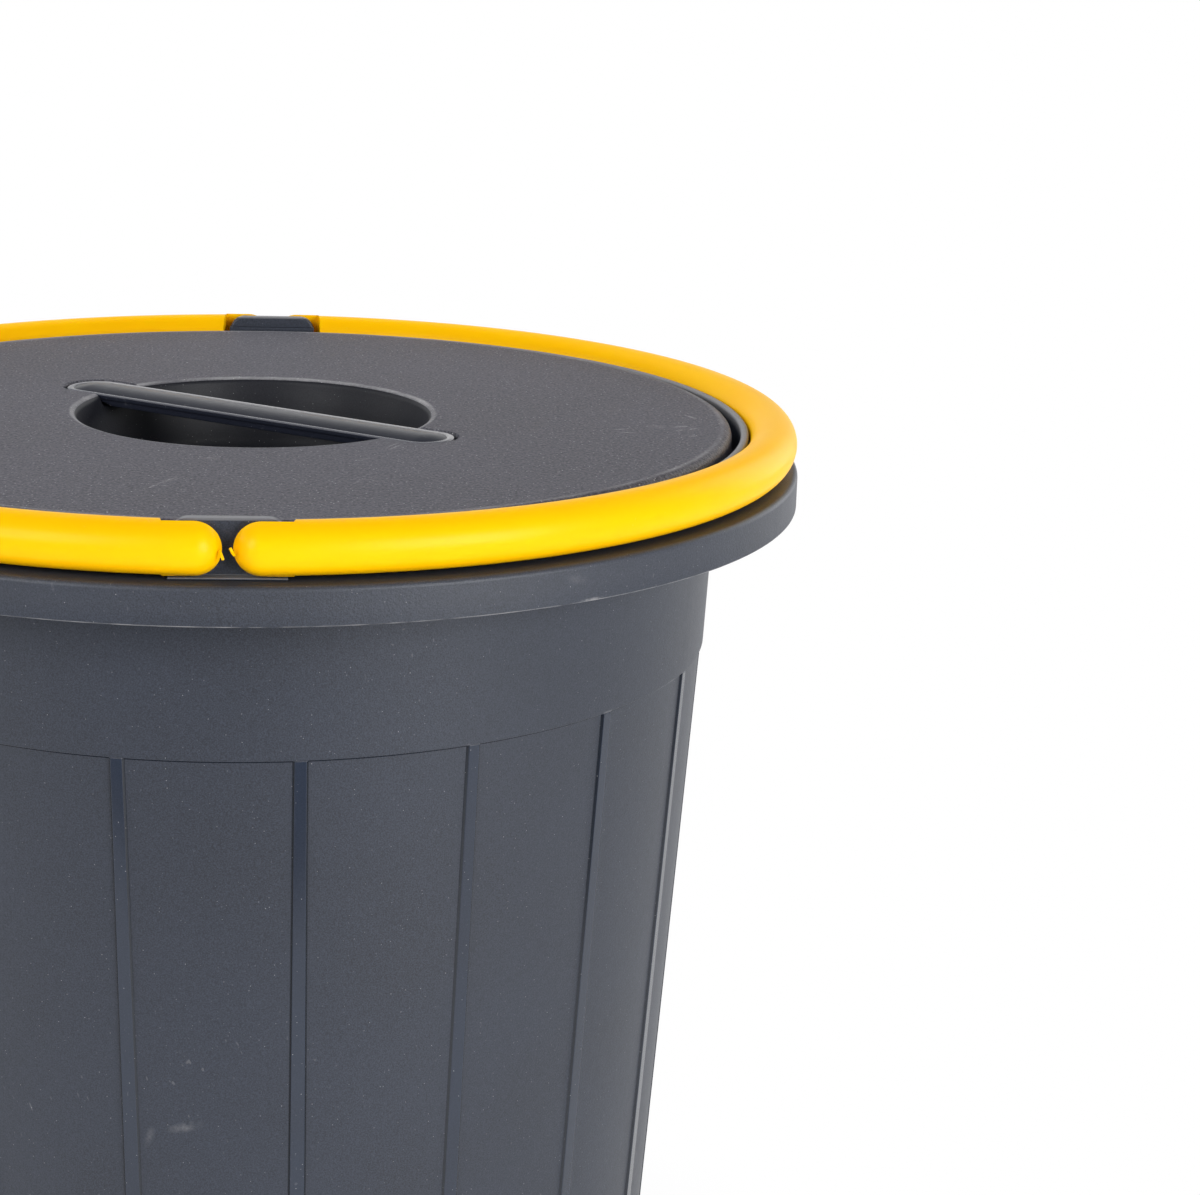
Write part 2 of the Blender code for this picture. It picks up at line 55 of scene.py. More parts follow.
camera_place = Vector((0.04137, -0.98689, 0.63005))
camera_heading = math.radians(5.108)
camera_pitch = math.radians(-15.041)
camera_roll = math.radians(1.801)
camera_lens = 81.41
floor_size = 12.0
floor_hex = "#E9E9E9"
white_hex = "#FFFFFF"
room_hex = "#F4F6FA"
room_strength = 0.18
wall_start = -0.3
wall_full = 0.6
wall_low = 0.15
wall_high = 0.70
shadow_reach = 0.34
shadow_fade = 0.45
table_edge = -0.75
table_edge_blur = 0.09
lamps = {
    "main_softbox": ((1.4, -1.6, 0.8), (0.0, 0.0, 0.36), (1.0, 1.2), 39.0),
    "rear_softbox": ((-0.4, 1.55, 1.8), (0.0, 0.0, 0.40), (2.0, 1.0), 37.0),
    "right_rear_softbox": ((1.7, 1.4, 0.9), (0.0, 0.0, 0.35), (1.0, 1.5), 11.0),
    "left_softbox": ((-2.1, 0.2, 0.8), (0.0, 0.0, 0.35), (1.0, 1.5), 12.0),
    "left_front_softbox": ((-1.4, -1.6, 1.3), (0.0, 0.0, 0.36), (1.0, 1.2), 25.0),
    "low_panel": ((0.2, -2.1, 0.35), (0.0, 0.0, 0.36), (2.2, 0.8), 3.0),
}


def linear(code):
    """Linear colour of an sRGB hex value."""
    channels = [int(code[place:place + 2], 16) / 255 for place in (1, 3, 5)]
    lit = [c / 12.92 if c <= 0.04045 else ((c + 0.055) / 1.055) ** 2.4 for c in channels]
    return (*lit, 1.0)


def add(tree, kind, inputs=None, **settings):
    """Add a node with its settings. An input is a value, a socket or a node's first output."""
    made = tree.nodes.new("ShaderNode" + kind)
    for name, value in settings.items():
        setattr(made, name, value)
    for name, value in (inputs or {}).items():
        if isinstance(value, bpy.types.Node):
            value = value.outputs[0]
        if isinstance(value, bpy.types.NodeSocket):
            tree.links.new(value, made.inputs[name])
        else:
            made.inputs[name].default_value = value
    return made


def seen_directly(tree, mirrored_share=1.0):
    """1 where the camera shows the surface, and a share of it in reflections and clear plastic."""
    path = add(tree, "LightPath")
    glossy, clear = path.outputs["Is Glossy Ray"], path.outputs["Is Transmission Ray"]
    mirrored = add(tree, "Math", {0: glossy, 1: clear}, operation="MAXIMUM")
    weaker = add(tree, "Math", {0: mirrored, 1: mirrored_share}, operation="MULTIPLY")
    return add(tree, "Math", {0: path.outputs["Is Camera Ray"], 1: weaker}, operation="MAXIMUM")


def new_tree(owner):
    """An empty node tree of a material or a world."""
    owner.use_nodes = True
    owner.node_tree.nodes.clear()
    return owner.node_tree


def put_in_scene(name, data):
    """A new object in the scene."""
    made = bpy.data.objects.new(name, data)
    bpy.context.scene.collection.objects.link(made)
    return made


# Gloss shows the lower part of the white wall behind the bin, and only the dim room elsewhere.
room = bpy.data.worlds.new("white_room")
bpy.context.scene.world = room
tree = new_tree(room)
look = add(tree, "SeparateXYZ", {0: add(tree, "TexCoord").outputs["Generated"]})
wall = add(
    tree,
    "MapRange",
    {"Value": look.outputs["Y"], "From Min": wall_start, "From Max": wall_full},
    interpolation_type="SMOOTHSTEP",
)
lower = add(
    tree,
    "MapRange",
    {"Value": look.outputs["Z"], "From Min": wall_high, "From Max": wall_low},
    interpolation_type="SMOOTHSTEP",
)
mirrored_wall = add(tree, "Math", {0: wall, 1: lower}, operation="MULTIPLY")
room_light = add(tree, "Background", {"Color": linear(room_hex), "Strength": room_strength})
room_white = add(tree, "Background", {"Color": linear(white_hex), "Strength": 1.0})
room_mix = add(tree, "MixShader", {0: seen_directly(tree, mirrored_wall), 1: room_light, 2: room_white})
add(tree, "OutputWorld", {"Surface": room_mix})

for lamp_name, (stand, target, size, power) in lamps.items():
    light = bpy.data.lights.new(lamp_name, "AREA")
    light.shape = "RECTANGLE"
    light.size, light.size_y = size
    light.energy = power
    lamp = put_in_scene(lamp_name, light)
    lamp.location = stand
    lamp.rotation_euler = (Vector(target) - Vector(stand)).to_track_quat("-Z", "Y").to_euler()
    lamp.visible_glossy = lamp_name != "rear_softbox"

# The floor is painted board. Away from the bin it fades to the white of the room, and near
# the bin it keeps the bin's soft shadow. Gloss sees it end in front of the bin, where the
# dark side of the room begins.
painted_board = bpy.data.materials.new("painted_board")
tree = new_tree(painted_board)
place = add(tree, "TexCoord").outputs["Object"]
distance = add(tree, "VectorMath", {0: place}, operation="LENGTH").outputs["Value"]
fade = add(
    tree,
    "MapRange",
    {"Value": distance, "From Min": shadow_reach / 3, "From Max": shadow_reach, "To Min": shadow_fade},
    interpolation_type="SMOOTHSTEP",
)
fade_shown = add(tree, "Math", {0: fade, 1: seen_directly(tree)}, operation="MULTIPLY")
depth = add(tree, "SeparateXYZ", {0: place}).outputs["Y"]
lit_table = add(
    tree,
    "MapRange",
    {"Value": depth, "From Min": table_edge, "From Max": table_edge + table_edge_blur},
    interpolation_type="SMOOTHSTEP",
)
paint = add(tree, "BsdfDiffuse", {"Color": linear(floor_hex)})
glow = add(tree, "Emission", {"Color": linear(white_hex), "Strength": seen_directly(tree, lit_table)})
board_mix = add(tree, "MixShader", {0: fade_shown, 1: paint, 2: glow})
add(tree, "OutputMaterial", {"Surface": board_mix})

floor_mesh = bpy.data.meshes.new("floor")
half_floor = floor_size / 2
floor_corners = [(-1, -1), (1, -1), (1, 1), (-1, 1)]
floor_points = [(x * half_floor, y * half_floor, 0.0) for x, y in floor_corners]
floor_mesh.from_pydata(floor_points, [], [(0, 1, 2, 3)])
floor_mesh.materials.append(painted_board)
floor = put_in_scene("floor", floor_mesh)

camera_data = bpy.data.cameras.new("camera")
camera_data.lens = camera_lens
camera = put_in_scene("camera", camera_data)
camera.matrix_world = (
    Matrix.Translation(camera_place)
    @ Matrix.Rotation(-camera_heading, 4, "Z")
    @ Matrix.Rotation(math.pi / 2 + camera_pitch, 4, "X")
    @ Matrix.Rotation(camera_roll, 4, "Z")
)
bpy.context.scene.camera = camera


# Bin body: one tapered shell of anthracite polypropylene, injection moulded upside down over
# a core. Eighteen flat upright ribs run down from its band and stiffen its wall, and the rim
# is a wide flange with a turned-down skirt, a ledge for the lid and an upstand round it.

body_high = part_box("bin_body")[1]
rim_radius = body_high.x
upstand_height = 0.0129
rim_height = body_high.z - upstand_height
band_foot = rim_height - 0.0661
panel_top_radius = 0.1669
foot_radius = 0.1439
band_foot_radius = 0.1680
band_top_radius = 0.1709
band_step = 0.0007
band_edge_round = 0.0003
corner_shade = 0.00025
body_wall = 0.0024
foot_ring_width = 0.0050
foot_round = 0.0020
base_rise = 0.0050
base_wall = 0.0028
floor_fillet = 0.0080
mouth_round = 0.0010
upstand_radius = 0.1816
upstand_wall = 0.0029
upstand_round = 0.0012
flange_wall = 0.0026
flange_round = 0.0018
skirt_wall = 0.0026
skirt_height = 0.0127
skirt_edge_round = 0.0004
gate_radius = 0.0030
gate_stub = 0.0012
panel_rib_count = 18
panel_rib_turn = math.radians(-2.7)
panel_rib_height = 0.0009
panel_rib_draft = 0.0004
panel_rib_round = 0.00025
panel_rib_top_width = 0.0047
panel_rib_foot_width = 0.0068
panel_rib_foot = 0.0140
panel_columns = 13
slot_place = 0.1867
slot_spread = 0.0100
slot_half_width = 0.0044
slot_outer = 0.0017
slot_inner = 0.0023
slot_reach = 0.0100
gusset_count = 18
gusset_wall = 0.0018
gusset_drop = 0.0090
fit_gap = 0.0003
crease_angle = math.radians(40)


def arc(centre, radius, start, end, count):
    """Points on an arc in a plane, from one angle in degrees to another."""
    turns = [math.radians(start + (end - start) * step / count) for step in range(count + 1)]
    return [(centre[0] + radius * math.cos(a), centre[1] + radius * math.sin(a)) for a in turns]


def panel_radius(height):
    """Outer radius of the tapered panels at a height above the floor."""
    return foot_radius + (panel_top_radius - foot_radius) * height / band_foot


def skin(name, rows, surface=None, poles=(None, None)):
    """Join closed rows of points into a smooth closed body, ended by pole points or flat faces."""
    work = bmesh.new()
    rings = [[work.verts.new(point) for point in row] for row in rows]
    count = len(rings[0])
    for before, after in zip(rings, rings[1:]):
        for index in range(count):
            following = (index + 1) % count
            work.faces.new((before[index], before[following], after[following], after[index]))
    for ring, pole in zip((rings[0], rings[-1]), poles):
        if pole is None:
            work.faces.new(ring)
            continue
        tip = work.verts.new(pole)
        for index in range(count):
            work.faces.new((ring[index], ring[(index + 1) % count], tip))
    bmesh.ops.recalc_face_normals(work, faces=work.faces)
    mesh = bpy.data.meshes.new(name)
    work.to_mesh(mesh)
    work.free()
    mesh.shade_smooth()
    mesh.set_sharp_from_angle(angle=crease_angle)
    if surface is not None:
        mesh.materials.append(surface)
    return put_in_scene(name, mesh)


def flat_faces_stay_flat(piece):
    """Weight the shading by face area, so that flats stay flat beside small rounds."""
    weighted = piece.modifiers.new("weighted_shading", "WEIGHTED_NORMAL")
    weighted.keep_sharp = True
    weighted.weight = 100


def cut_or_join(piece, other, operation):
    """Apply a Boolean with another mesh, which is then removed."""
    step = piece.modifiers.new(other.name, "BOOLEAN")
    step.operation = operation
    step.solver = "EXACT"
    step.object = other
    graph = bpy.context.evaluated_depsgraph_get()
    mesh = bpy.data.meshes.new_from_object(piece.evaluated_get(graph))
    piece.modifiers.clear()
    piece.data = mesh
    mesh.shade_smooth()
    mesh.set_sharp_from_angle(angle=crease_angle)
    bpy.data.objects.remove(other)


def prism(name, outline, low, high, stand=Matrix.Identity(4)):
    """An outline extruded from one level to another, in the axes of a matrix."""
    rows = [[stand @ Vector((x, y, level)) for x, y in outline] for level in (low, high)]
    return skin(name, rows)


def rectangle(left, right, front, rear):
    """Corners of a rectangle."""
    return [(left, front), (right, front), (right, rear), (left, rear)]


def rib_width(height):
    """Width of a panel rib at its root, at a height above the floor."""
    return panel_rib_foot_width + (panel_rib_top_width - panel_rib_foot_width) * height / band_foot


def rib_section(half_width):
    """(sideways place, how far proud) pairs from the middle of a rib to the panel beside it."""
    edge = panel_rib_round
    corner = half_width - panel_rib_draft - edge
    points = [(0.0, panel_rib_height), (corner * 0.6, panel_rib_height)]
    points += arc((corner, panel_rib_height - edge), edge, 90, 15, 4)
    points += arc((half_width + edge, edge), edge, 195, 270, 4)
    return points


def body_columns(height):
    """(angle, how far proud) of every column of the body at a height."""
    level = min(height, band_foot)
    radius = panel_radius(level)
    side = rib_section(rib_width(level) / 2)
    pitch = math.tau / panel_rib_count
    first = side[-1][0] / radius
    between = pitch - 2 * first
    panel = [first + between * (step + 1) / panel_columns for step in range(panel_columns - 1)]
    columns = []
    for index in range(panel_rib_count):
        middle = panel_rib_turn + index * pitch
        columns += [(middle - place / radius, proud) for place, proud in reversed(side[1:])]
        columns += [(middle + place / radius, proud) for place, proud in side]
        columns += [(middle + turn, 0.0) for turn in panel]
    return columns


def body_rows():
    """(radius, height, share of the ribs) rows from the bin's floor over the rim to its base."""
    floor_height = base_rise + base_wall
    corner_height = floor_height + floor_fillet
    corner_radius = panel_radius(corner_height) - body_wall
    mouth_radius = band_top_radius - body_wall
    upstand_inner = upstand_radius - upstand_wall
    upstand_top = rim_height + upstand_height
    skirt_foot = rim_height - skirt_height
    skirt_inner = rim_radius - skirt_wall
    under = rim_height - flange_wall
    rows = [(share * corner_radius, floor_height) for share in (0.02, 0.3, 0.6, 0.9)]
    rows += arc((corner_radius - floor_fillet, corner_height), floor_fillet, -90, 0, 8)
    for share in (0.2, 0.4, 0.6, 0.8, 1):
        rows.append((panel_radius(band_foot * share) - body_wall, band_foot * share))
    rows += arc((mouth_radius + mouth_round, rim_height - mouth_round), mouth_round, 180, 90, 4)
    rows += arc((upstand_inner - fit_gap, rim_height + fit_gap), fit_gap, 270, 360, 3)
    rows += arc((upstand_inner + upstand_round, upstand_top - upstand_round), upstand_round, 180, 90, 5)
    rows += arc((upstand_radius - upstand_round, upstand_top - upstand_round), upstand_round, 90, 0, 5)
    rows += arc((upstand_radius + fit_gap, rim_height + fit_gap), fit_gap, 180, 270, 3)
    rows += arc((rim_radius - flange_round, rim_height - flange_round), flange_round, 90, 0, 7)
    skirt_edge = (rim_radius - skirt_edge_round, skirt_foot + skirt_edge_round)
    rows += arc(skirt_edge, skirt_edge_round, 0, -90, 3)
    rows += [(skirt_inner, skirt_foot), (skirt_inner, under), (band_top_radius, under)]
    band_edge = (band_foot_radius - band_edge_round, band_foot + band_step)
    rows += arc(band_edge, band_edge_round, 0, -60, 4)
    rows = [(radius, height, 0.0) for radius, height in rows]
    rows += [(panel_top_radius, band_foot + fit_gap, 0.9), (panel_top_radius, band_foot, 1.0)]
    rows += [(panel_radius(band_foot - corner_shade), band_foot - corner_shade, 1.0)]
    levels = [panel_rib_foot + (band_foot - panel_rib_foot) * step / 8 for step in range(7, -1, -1)]
    rows += [(panel_radius(height), height, 1.0) for height in levels]
    for share in (0.9, 0.5, 0.1, 0.0):
        height = panel_rib_foot - panel_rib_height * (1 - share)
        rows.append((panel_radius(height), height, share))
    foot = arc((foot_radius - foot_round, foot_round), foot_round, 0, -90, 5)
    foot += [(foot_radius - foot_ring_width, 0.0), (foot_radius - foot_ring_width, base_rise)]
    foot += [(share * foot_radius, base_rise) for share in (0.8, 0.5, 0.2)]
    foot += [(gate_radius, base_rise), (gate_radius, base_rise - gate_stub)]
    foot += [(gate_radius / 2, base_rise - gate_stub)]
    return rows + [(radius, height, 0.0) for radius, height in foot]


body_points = []
for radius, height, rib_share in body_rows():
    row = []
    for turn, proud in body_columns(height):
        reach = radius + proud * rib_share
        row.append((reach * math.cos(turn), reach * math.sin(turn), height))
    body_points.append(row)

# Surface shared by all the dark mouldings: polypropylene from a spark-eroded mould. Its fine
# pebbled grain takes the gloss off, dust sits on it as pale specks, and handling leaves
# hairline scratches and pale rubbed patches.

polypropylene_ior = 1.49
grain_width = 0.00045
mottle_width = 0.0035
cloud_width = 0.060
dust_gap = 0.0060
dust_width = 0.00032
dust_share = 0.30
dust_strength = 0.8
dust_hex = "#DCDCDE"
lint_gap = 0.0017
lint_width = 0.00036
scratch_length = 0.040
scratch_width = 0.0010
scratch_bend = 0.010
scratch_strength = 0.12
scratch_hex = "#B9B9BC"
rub_streak_width = 0.004
rub_overlap = 1.1
rub_and_painted_highlight_hex = "#A6A5A6"
rough_change = 0.03
relief_strength = 0.45


def speckle(tree, place, gap, width, share, most):
    """Mask of small specks, one in some of the cells of a Voronoi pattern."""
    cells = add(tree, "TexVoronoi", {"Vector": place, "Scale": 1 / gap, "Randomness": 1.0})
    sizes = {"From Min": width / gap / 2, "From Max": width / gap / 4}
    near = add(tree, "MapRange", {"Value": cells.outputs["Distance"], **sizes, "To Max": most})
    dice = add(tree, "SeparateColor", {"Color": cells.outputs["Color"]})
    lucky = add(tree, "Math", {0: dice, 1: 1 - share}, operation="GREATER_THAN")
    bright = add(tree, "Math", {0: dice.outputs[1], 1: lucky}, operation="MULTIPLY")
    return add(tree, "Math", {0: near, 1: bright}, operation="MULTIPLY")


def hairlines(tree, place, turn, most):
    """Mask of thin scratches in a few places. They run about one way and bend a little."""
    bend = add(tree, "TexNoise", {"Vector": place, "Scale": 1 / cloud_width, "Detail": 2.0})
    shift = (scratch_bend, scratch_bend, scratch_bend)
    bent = add(
        tree, "VectorMath", {0: bend.outputs["Color"], 1: shift, 2: place}, operation="MULTIPLY_ADD"
    )
    turned = add(tree, "Mapping", {"Vector": bent, "Rotation": turn})
    narrow = (1 / scratch_width, 1 / scratch_width, 1 / scratch_length)
    stretched = add(tree, "VectorMath", {0: turned, 1: narrow}, operation="MULTIPLY")
    field = add(tree, "TexNoise", {"Vector": stretched, "Scale": 1.0, "Detail": 0.0})
    line = add(tree, "MapRange", {"Value": field, "From Min": 0.79, "From Max": 0.86, "To Max": most})
    chosen = add(tree, "MapRange", {"Value": bend, "From Min": 0.54, "From Max": 0.66})
    return add(tree, "Math", {0: line, 1: chosen}, operation="MULTIPLY")


def near_value(tree, value, middle, reach, most):
    """Mask that is strongest where a number has one value and fades out at a distance from it."""
    off = add(tree, "Math", {0: value, 1: middle}, operation="SUBTRACT")
    far = add(tree, "Math", {0: off}, operation="ABSOLUTE")
    return add(tree, "MapRange", {"Value": far, "From Min": reach, "From Max": reach / 4, "To Max": most})


def strongest(tree, masks):
    """The strongest of several masks at each place."""
    top = masks[0]
    for mask in masks[1:]:
        top = add(tree, "Math", {0: top, 1: mask}, operation="MAXIMUM")
    return top


def rub_marks(tree, place, marks):
    """Mask of single rubs and scratches: (start, end, half width, strength) each."""
    pattern = {"Vector": place, "Scale": 1 / rub_streak_width, "Detail": 6.0, "Roughness": 0.75}
    streaks = add(tree, "TexNoise", pattern)
    rough = add(tree, "MapRange", {"Value": streaks, "From Min": 0.36, "From Max": 0.62})
    masks = []
    for start, end, half_width, most in marks:
        along = Vector(end) - Vector(start)
        mark_axes = {
            "Vector": place,
            "Location": (Vector(start) + Vector(end)) / 2,
            "Rotation": along.to_track_quat("X", "Z").to_euler(),
            "Scale": (along.length / 2 * rub_overlap, half_width, half_width),
        }
        local = add(tree, "Mapping", mark_axes, vector_type="TEXTURE")
        away = add(tree, "VectorMath", {0: local}, operation="LENGTH").outputs["Value"]
        inside = add(tree, "MapRange", {"Value": away, "From Min": 1.0, "From Max": 0.2, "To Max": most})
        masks.append(add(tree, "Math", {0: inside, 1: rough}, operation="MULTIPLY"))
    return strongest(tree, masks)


def mixed(tree, share, first, second):
    """Blend of two colours, each a hex value or a socket."""
    pick = [linear(c) if isinstance(c, str) else c for c in (first, second)]
    blend = add(tree, "Mix", {"Factor": share, "A": pick[0], "B": pick[1]}, data_type="RGBA")
    return blend.outputs["Result"]


def moulded_polypropylene(
    name,
    tones,
    scratch_turn,
    wear,
    rough,
    relief_depth,
    gloss=0.5,
    grain_size=grain_width,
    lint=(lint_width, 0.50, 0.40),
):
    """Dark polypropylene. The tones are its darker and its main colour and the light of its grain."""
    surface = bpy.data.materials.new(name)
    tree = new_tree(surface)
    place = add(tree, "TexCoord").outputs["Object"]
    clouds = add(tree, "TexNoise", {"Vector": place, "Scale": 1 / cloud_width, "Detail": 3.0})
    mottle = add(tree, "TexNoise", {"Vector": place, "Scale": 1 / mottle_width, "Detail": 2.0})
    pattern = {"Vector": place, "Scale": 1 / grain_size, "Detail": 1.5, "Roughness": 0.7}
    grain = add(tree, "TexNoise", pattern)
    pits = add(tree, "TexVoronoi", {"Vector": place, "Scale": 1 / grain_size / 1.6}, feature="SMOOTH_F1")
    cloudy = add(tree, "MapRange", {"Value": clouds, "From Min": 0.32, "From Max": 0.60})
    fine = add(tree, "MapRange", {"Value": grain, "From Min": 0.35, "From Max": 0.70, "To Max": 0.75})
    broad = add(tree, "MapRange", {"Value": mottle, "From Min": 0.35, "From Max": 0.75, "To Max": 0.08})
    colour = mixed(tree, cloudy, tones[0], tones[1])
    colour = mixed(tree, fine, colour, tones[2])
    colour = mixed(tree, broad, colour, tones[0])
    colour = mixed(tree, hairlines(tree, place, scratch_turn, scratch_strength), colour, scratch_hex)
    # The wear mask pales the colour for real rubs and, on some pieces, for painted highlights.
    colour = mixed(tree, wear(tree, place), colour, rub_and_painted_highlight_hex)
    dust = speckle(tree, place, dust_gap, dust_width, dust_share, dust_strength)
    specks = strongest(tree, (dust, speckle(tree, place, lint_gap, *lint)))
    colour = mixed(tree, specks, colour, dust_hex)
    limits = {"To Min": rough - rough_change, "To Max": rough + rough_change}
    rougher = add(tree, "MapRange", {"Value": mottle, **limits})
    relief = add(tree, "Math", {0: pits, 1: grain}, operation="ADD")
    bump = add(tree, "Bump", {"Height": relief, "Strength": relief_strength, "Distance": relief_depth})
    shader = add(
        tree,
        "BsdfPrincipled",
        {
            "Base Color": colour,
            "Roughness": rougher,
            "IOR": polypropylene_ior,
            "Specular IOR Level": gloss,
            "Normal": bump,
        },
    )
    add(tree, "OutputMaterial", {"Surface": shader})
    return surface


# The skirt's lower edge carries a thin pale line of flash, where the halves of the mould meet,
# the band's lower edge has a few bright specks of it, and the wall has some single scuffs. A
# faint pale band across the upper skirt and a pale band on the upstand's top are painted highlights.
flash_width = 0.00050
flash_break = 0.0090
skirt_painted_highlight_reach = 0.0085
skirt_painted_highlight = 0.020
upstand_painted_highlight_reach = 0.0040
upstand_painted_highlight = 0.52
body_marks = (
    ((-0.0239, -0.1578, 0.2217), (-0.0103, -0.1580, 0.2251), 0.0022, 0.24),
    ((-0.0301, -0.1558, 0.2146), (-0.0275, -0.1558, 0.2232), 0.0018, 0.16),
    ((0.1430, -0.0862, 0.3475), (0.1412, -0.0883, 0.3365), 0.0006, 0.24),
    ((0.1415, -0.0878, 0.3385), (0.1364, -0.0940, 0.3270), 0.0006, 0.30),
    ((0.1370, -0.0934, 0.3285), (0.1322, -0.0993, 0.3220), 0.0006, 0.34),
    ((0.1021, -0.1720, 0.4165), (0.1121, -0.1657, 0.4147), 0.0030, 0.10),
    ((0.1080, -0.1681, 0.4078), (0.1166, -0.1627, 0.4078), 0.0008, 0.80),
)


def body_wear_and_painted_highlights(tree, place):
    """Mask of the flash on the lower edges of the skirt and of the band, the scuffs, and the painted
    highlights on the skirt and the upstand's top.
    """
    height = add(tree, "SeparateXYZ", {"Vector": place}).outputs["Z"]
    ragged = add(tree, "TexNoise", {"Vector": place, "Scale": 1 / flash_break, "Detail": 5.0})
    skirt_middle = rim_height - skirt_height / 3
    upstand_top = rim_height + upstand_height
    masks = [rub_marks(tree, place, body_marks)]
    # Painted highlights: a pale band on the upper skirt and one on the upstand's top.
    masks.append(near_value(tree, height, skirt_middle, skirt_painted_highlight_reach, skirt_painted_highlight))
    masks.append(near_value(tree, height, upstand_top, upstand_painted_highlight_reach, upstand_painted_highlight))
    for edge, least, most, share in (
        (rim_height - skirt_height, 0.34, 0.66, 0.75),
        (band_foot + band_step, 0.60, 0.72, 0.25),
    ):
        line = near_value(tree, height, edge, flash_width, share)
        broken = add(tree, "MapRange", {"Value": ragged, "From Min": least, "From Max": most})
        masks.append(add(tree, "Math", {0: line, 1: broken}, operation="MULTIPLY"))
    return strongest(tree, masks)


body_scratches = (0.35, 0.2, 0.0)
anthracite_tones = ("#23272F", "#262B35", "#3E4350")
anthracite = moulded_polypropylene(
    "spark_eroded_anthracite", anthracite_tones, body_scratches, body_wear_and_painted_highlights, 0.5, grain_width / 4
)


# The faces of the ribs are polished steel in the mould, so they come out smooth and mirror
# the dark or the light part of the room in front of them. Their sides and the strip under
# the band are coloured darker: painted shade for the corners that light hardly reaches.
polished_tones = ("#262B36", "#29303D", "#2F3644")
rib_corner_painted_shade_tones = ("#1C2028", "#1F232B", "#262A32")


def unmarked(tree, place):
    """No wear of its own."""
    return 0.0


polished_anthracite = moulded_polypropylene(
    "polished_anthracite", polished_tones, body_scratches, unmarked, 0.15, grain_width / 60
)
painted_shade_anthracite = moulded_polypropylene(
    "painted_shade_anthracite", rib_corner_painted_shade_tones, body_scratches, unmarked, 0.18, grain_width / 60
)

body_poles = [(0.0, 0.0, body_points[end][0][2]) for end in (0, -1)]
bin_body = skin("bin_body_shell", body_points, anthracite, body_poles)
for middle in (-slot_spread, slot_spread):
    for turn in (Matrix.Identity(4), Matrix.Rotation(math.pi, 4, "Z")):
        left, right = middle - slot_half_width, middle + slot_half_width
        hole = rectangle(left, right, -slot_place - slot_outer, -slot_place + slot_inner)
        leg_slot = prism("leg_slot", hole, rim_height - slot_reach, rim_height + slot_reach, turn)
        cut_or_join(bin_body, leg_slot, "DIFFERENCE")
bin_body.data.materials.append(polished_anthracite)
bin_body.data.materials.append(painted_shade_anthracite)
half_pitch = math.pi / panel_rib_count
for face in bin_body.data.polygons:
    x, y, z = face.center
    reach = math.hypot(x, y)
    turn = (math.atan2(y, x) - panel_rib_turn + half_pitch) % (2 * half_pitch)
    past_root = abs(turn - half_pitch) * reach - rib_width(z) / 2
    outside = reach > panel_radius(z) - fit_gap
    # Rib sides and the strip just under the band take the darker material: painted shade.
    if outside and panel_rib_foot < z < band_foot and past_root < panel_rib_round:
        face.material_index = 1 if past_root < -panel_rib_draft * 0.8 else 2
    if outside and band_foot - corner_shade < z < band_foot + band_step / 2 and past_root > 0:
        face.material_index = 2
flat_faces_stay_flat(bin_body)
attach(bin_body, "bin")
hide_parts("bin_body")

# Rim gussets: thin upright plates moulded with the body, which tie the flange, its skirt and
# the wall together under the rim.
gusset_root = band_top_radius - fit_gap
gusset_tip = rim_radius - skirt_wall + fit_gap
gusset_top = rim_height - flange_wall + fit_gap
gusset_foot = rim_height - skirt_height + skirt_wall
gusset_outline = [
    (gusset_root, gusset_top),
    (gusset_root, rim_height - flange_wall - gusset_drop),
    (rim_radius - 2 * skirt_wall, gusset_foot),
    (gusset_tip, gusset_foot),
    (gusset_tip, gusset_top),
]
for index in range(gusset_count):
    turn = Matrix.Rotation((index + 0.5) * math.tau / gusset_count, 4, "Z")
    upright = turn @ Matrix.Rotation(math.pi / 2, 4, "X")
    gusset = prism(f"rim_gusset_{index + 1}", gusset_outline, -gusset_wall / 2, gusset_wall / 2, upright)
    gusset.data.materials.append(anthracite)
    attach(gusset, "bin")


# Lid: a drop-in shell of the same plastic, seen from above as a flat matt deck with a rolled
# edge. A round hand recess is moulded in its middle, with a pocket at each side of it for an
# end of the grip bar, and the recess rim is rubbed pale by fingers.

lid_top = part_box("lid")[1].z
lid_radius = 0.1755
lid_rest = rim_height + fit_gap
lid_wall = 0.0022
lid_edge_round = 0.0035
lid_turn = math.radians(-35.0)
recess_radius = 0.0640
recess_floor_radius = 0.0600
recess_depth = 0.0295
recess_rim_round = 0.0030
recess_fillet = 0.0090
locating_radius = band_top_radius - body_wall - 0.0019
locating_wall = 0.0020
locating_foot = rim_height - 0.0080
rib_count = 12
rib_wall = 0.0016
rib_drop = 0.0060
pocket_depth = 0.0036
pocket_gap = 0.0004
pocket_end_gap = 0.0006
pocket_roll = 0.0009
pocket_turn = math.radians(15.4)
pocket_rows = 60
pocket_columns = 140
plain_columns = 100
bar_length = 0.1710
bar_width = 0.0226
bar_end = 0.0100


def smooth_step(share):
    """0 to 1 with soft ends."""
    share = min(max(share, 0.0), 1.0)
    return share * share * (3 - 2 * share)


def past_bar(x, y):
    """How far a point lies outside the grip bar's outline, about."""
    half_width = bar_width / 2
    straight = bar_length / 2 - bar_end
    if abs(x) <= straight:
        return abs(y) - half_width
    reach = math.hypot((abs(x) - straight) / bar_end, y / half_width)
    return (reach - 1) * bar_end


def pocket_sink(x, y, gap):
    """Depth of the pocket for the bar at a place on the deck, with a rolled edge."""
    shrunk = 1 - 2 * pocket_end_gap / bar_length
    past_wall = past_bar(x * shrunk, y) - gap + pocket_roll / 4
    return pocket_depth * (1 - smooth_step(past_wall / pocket_roll))


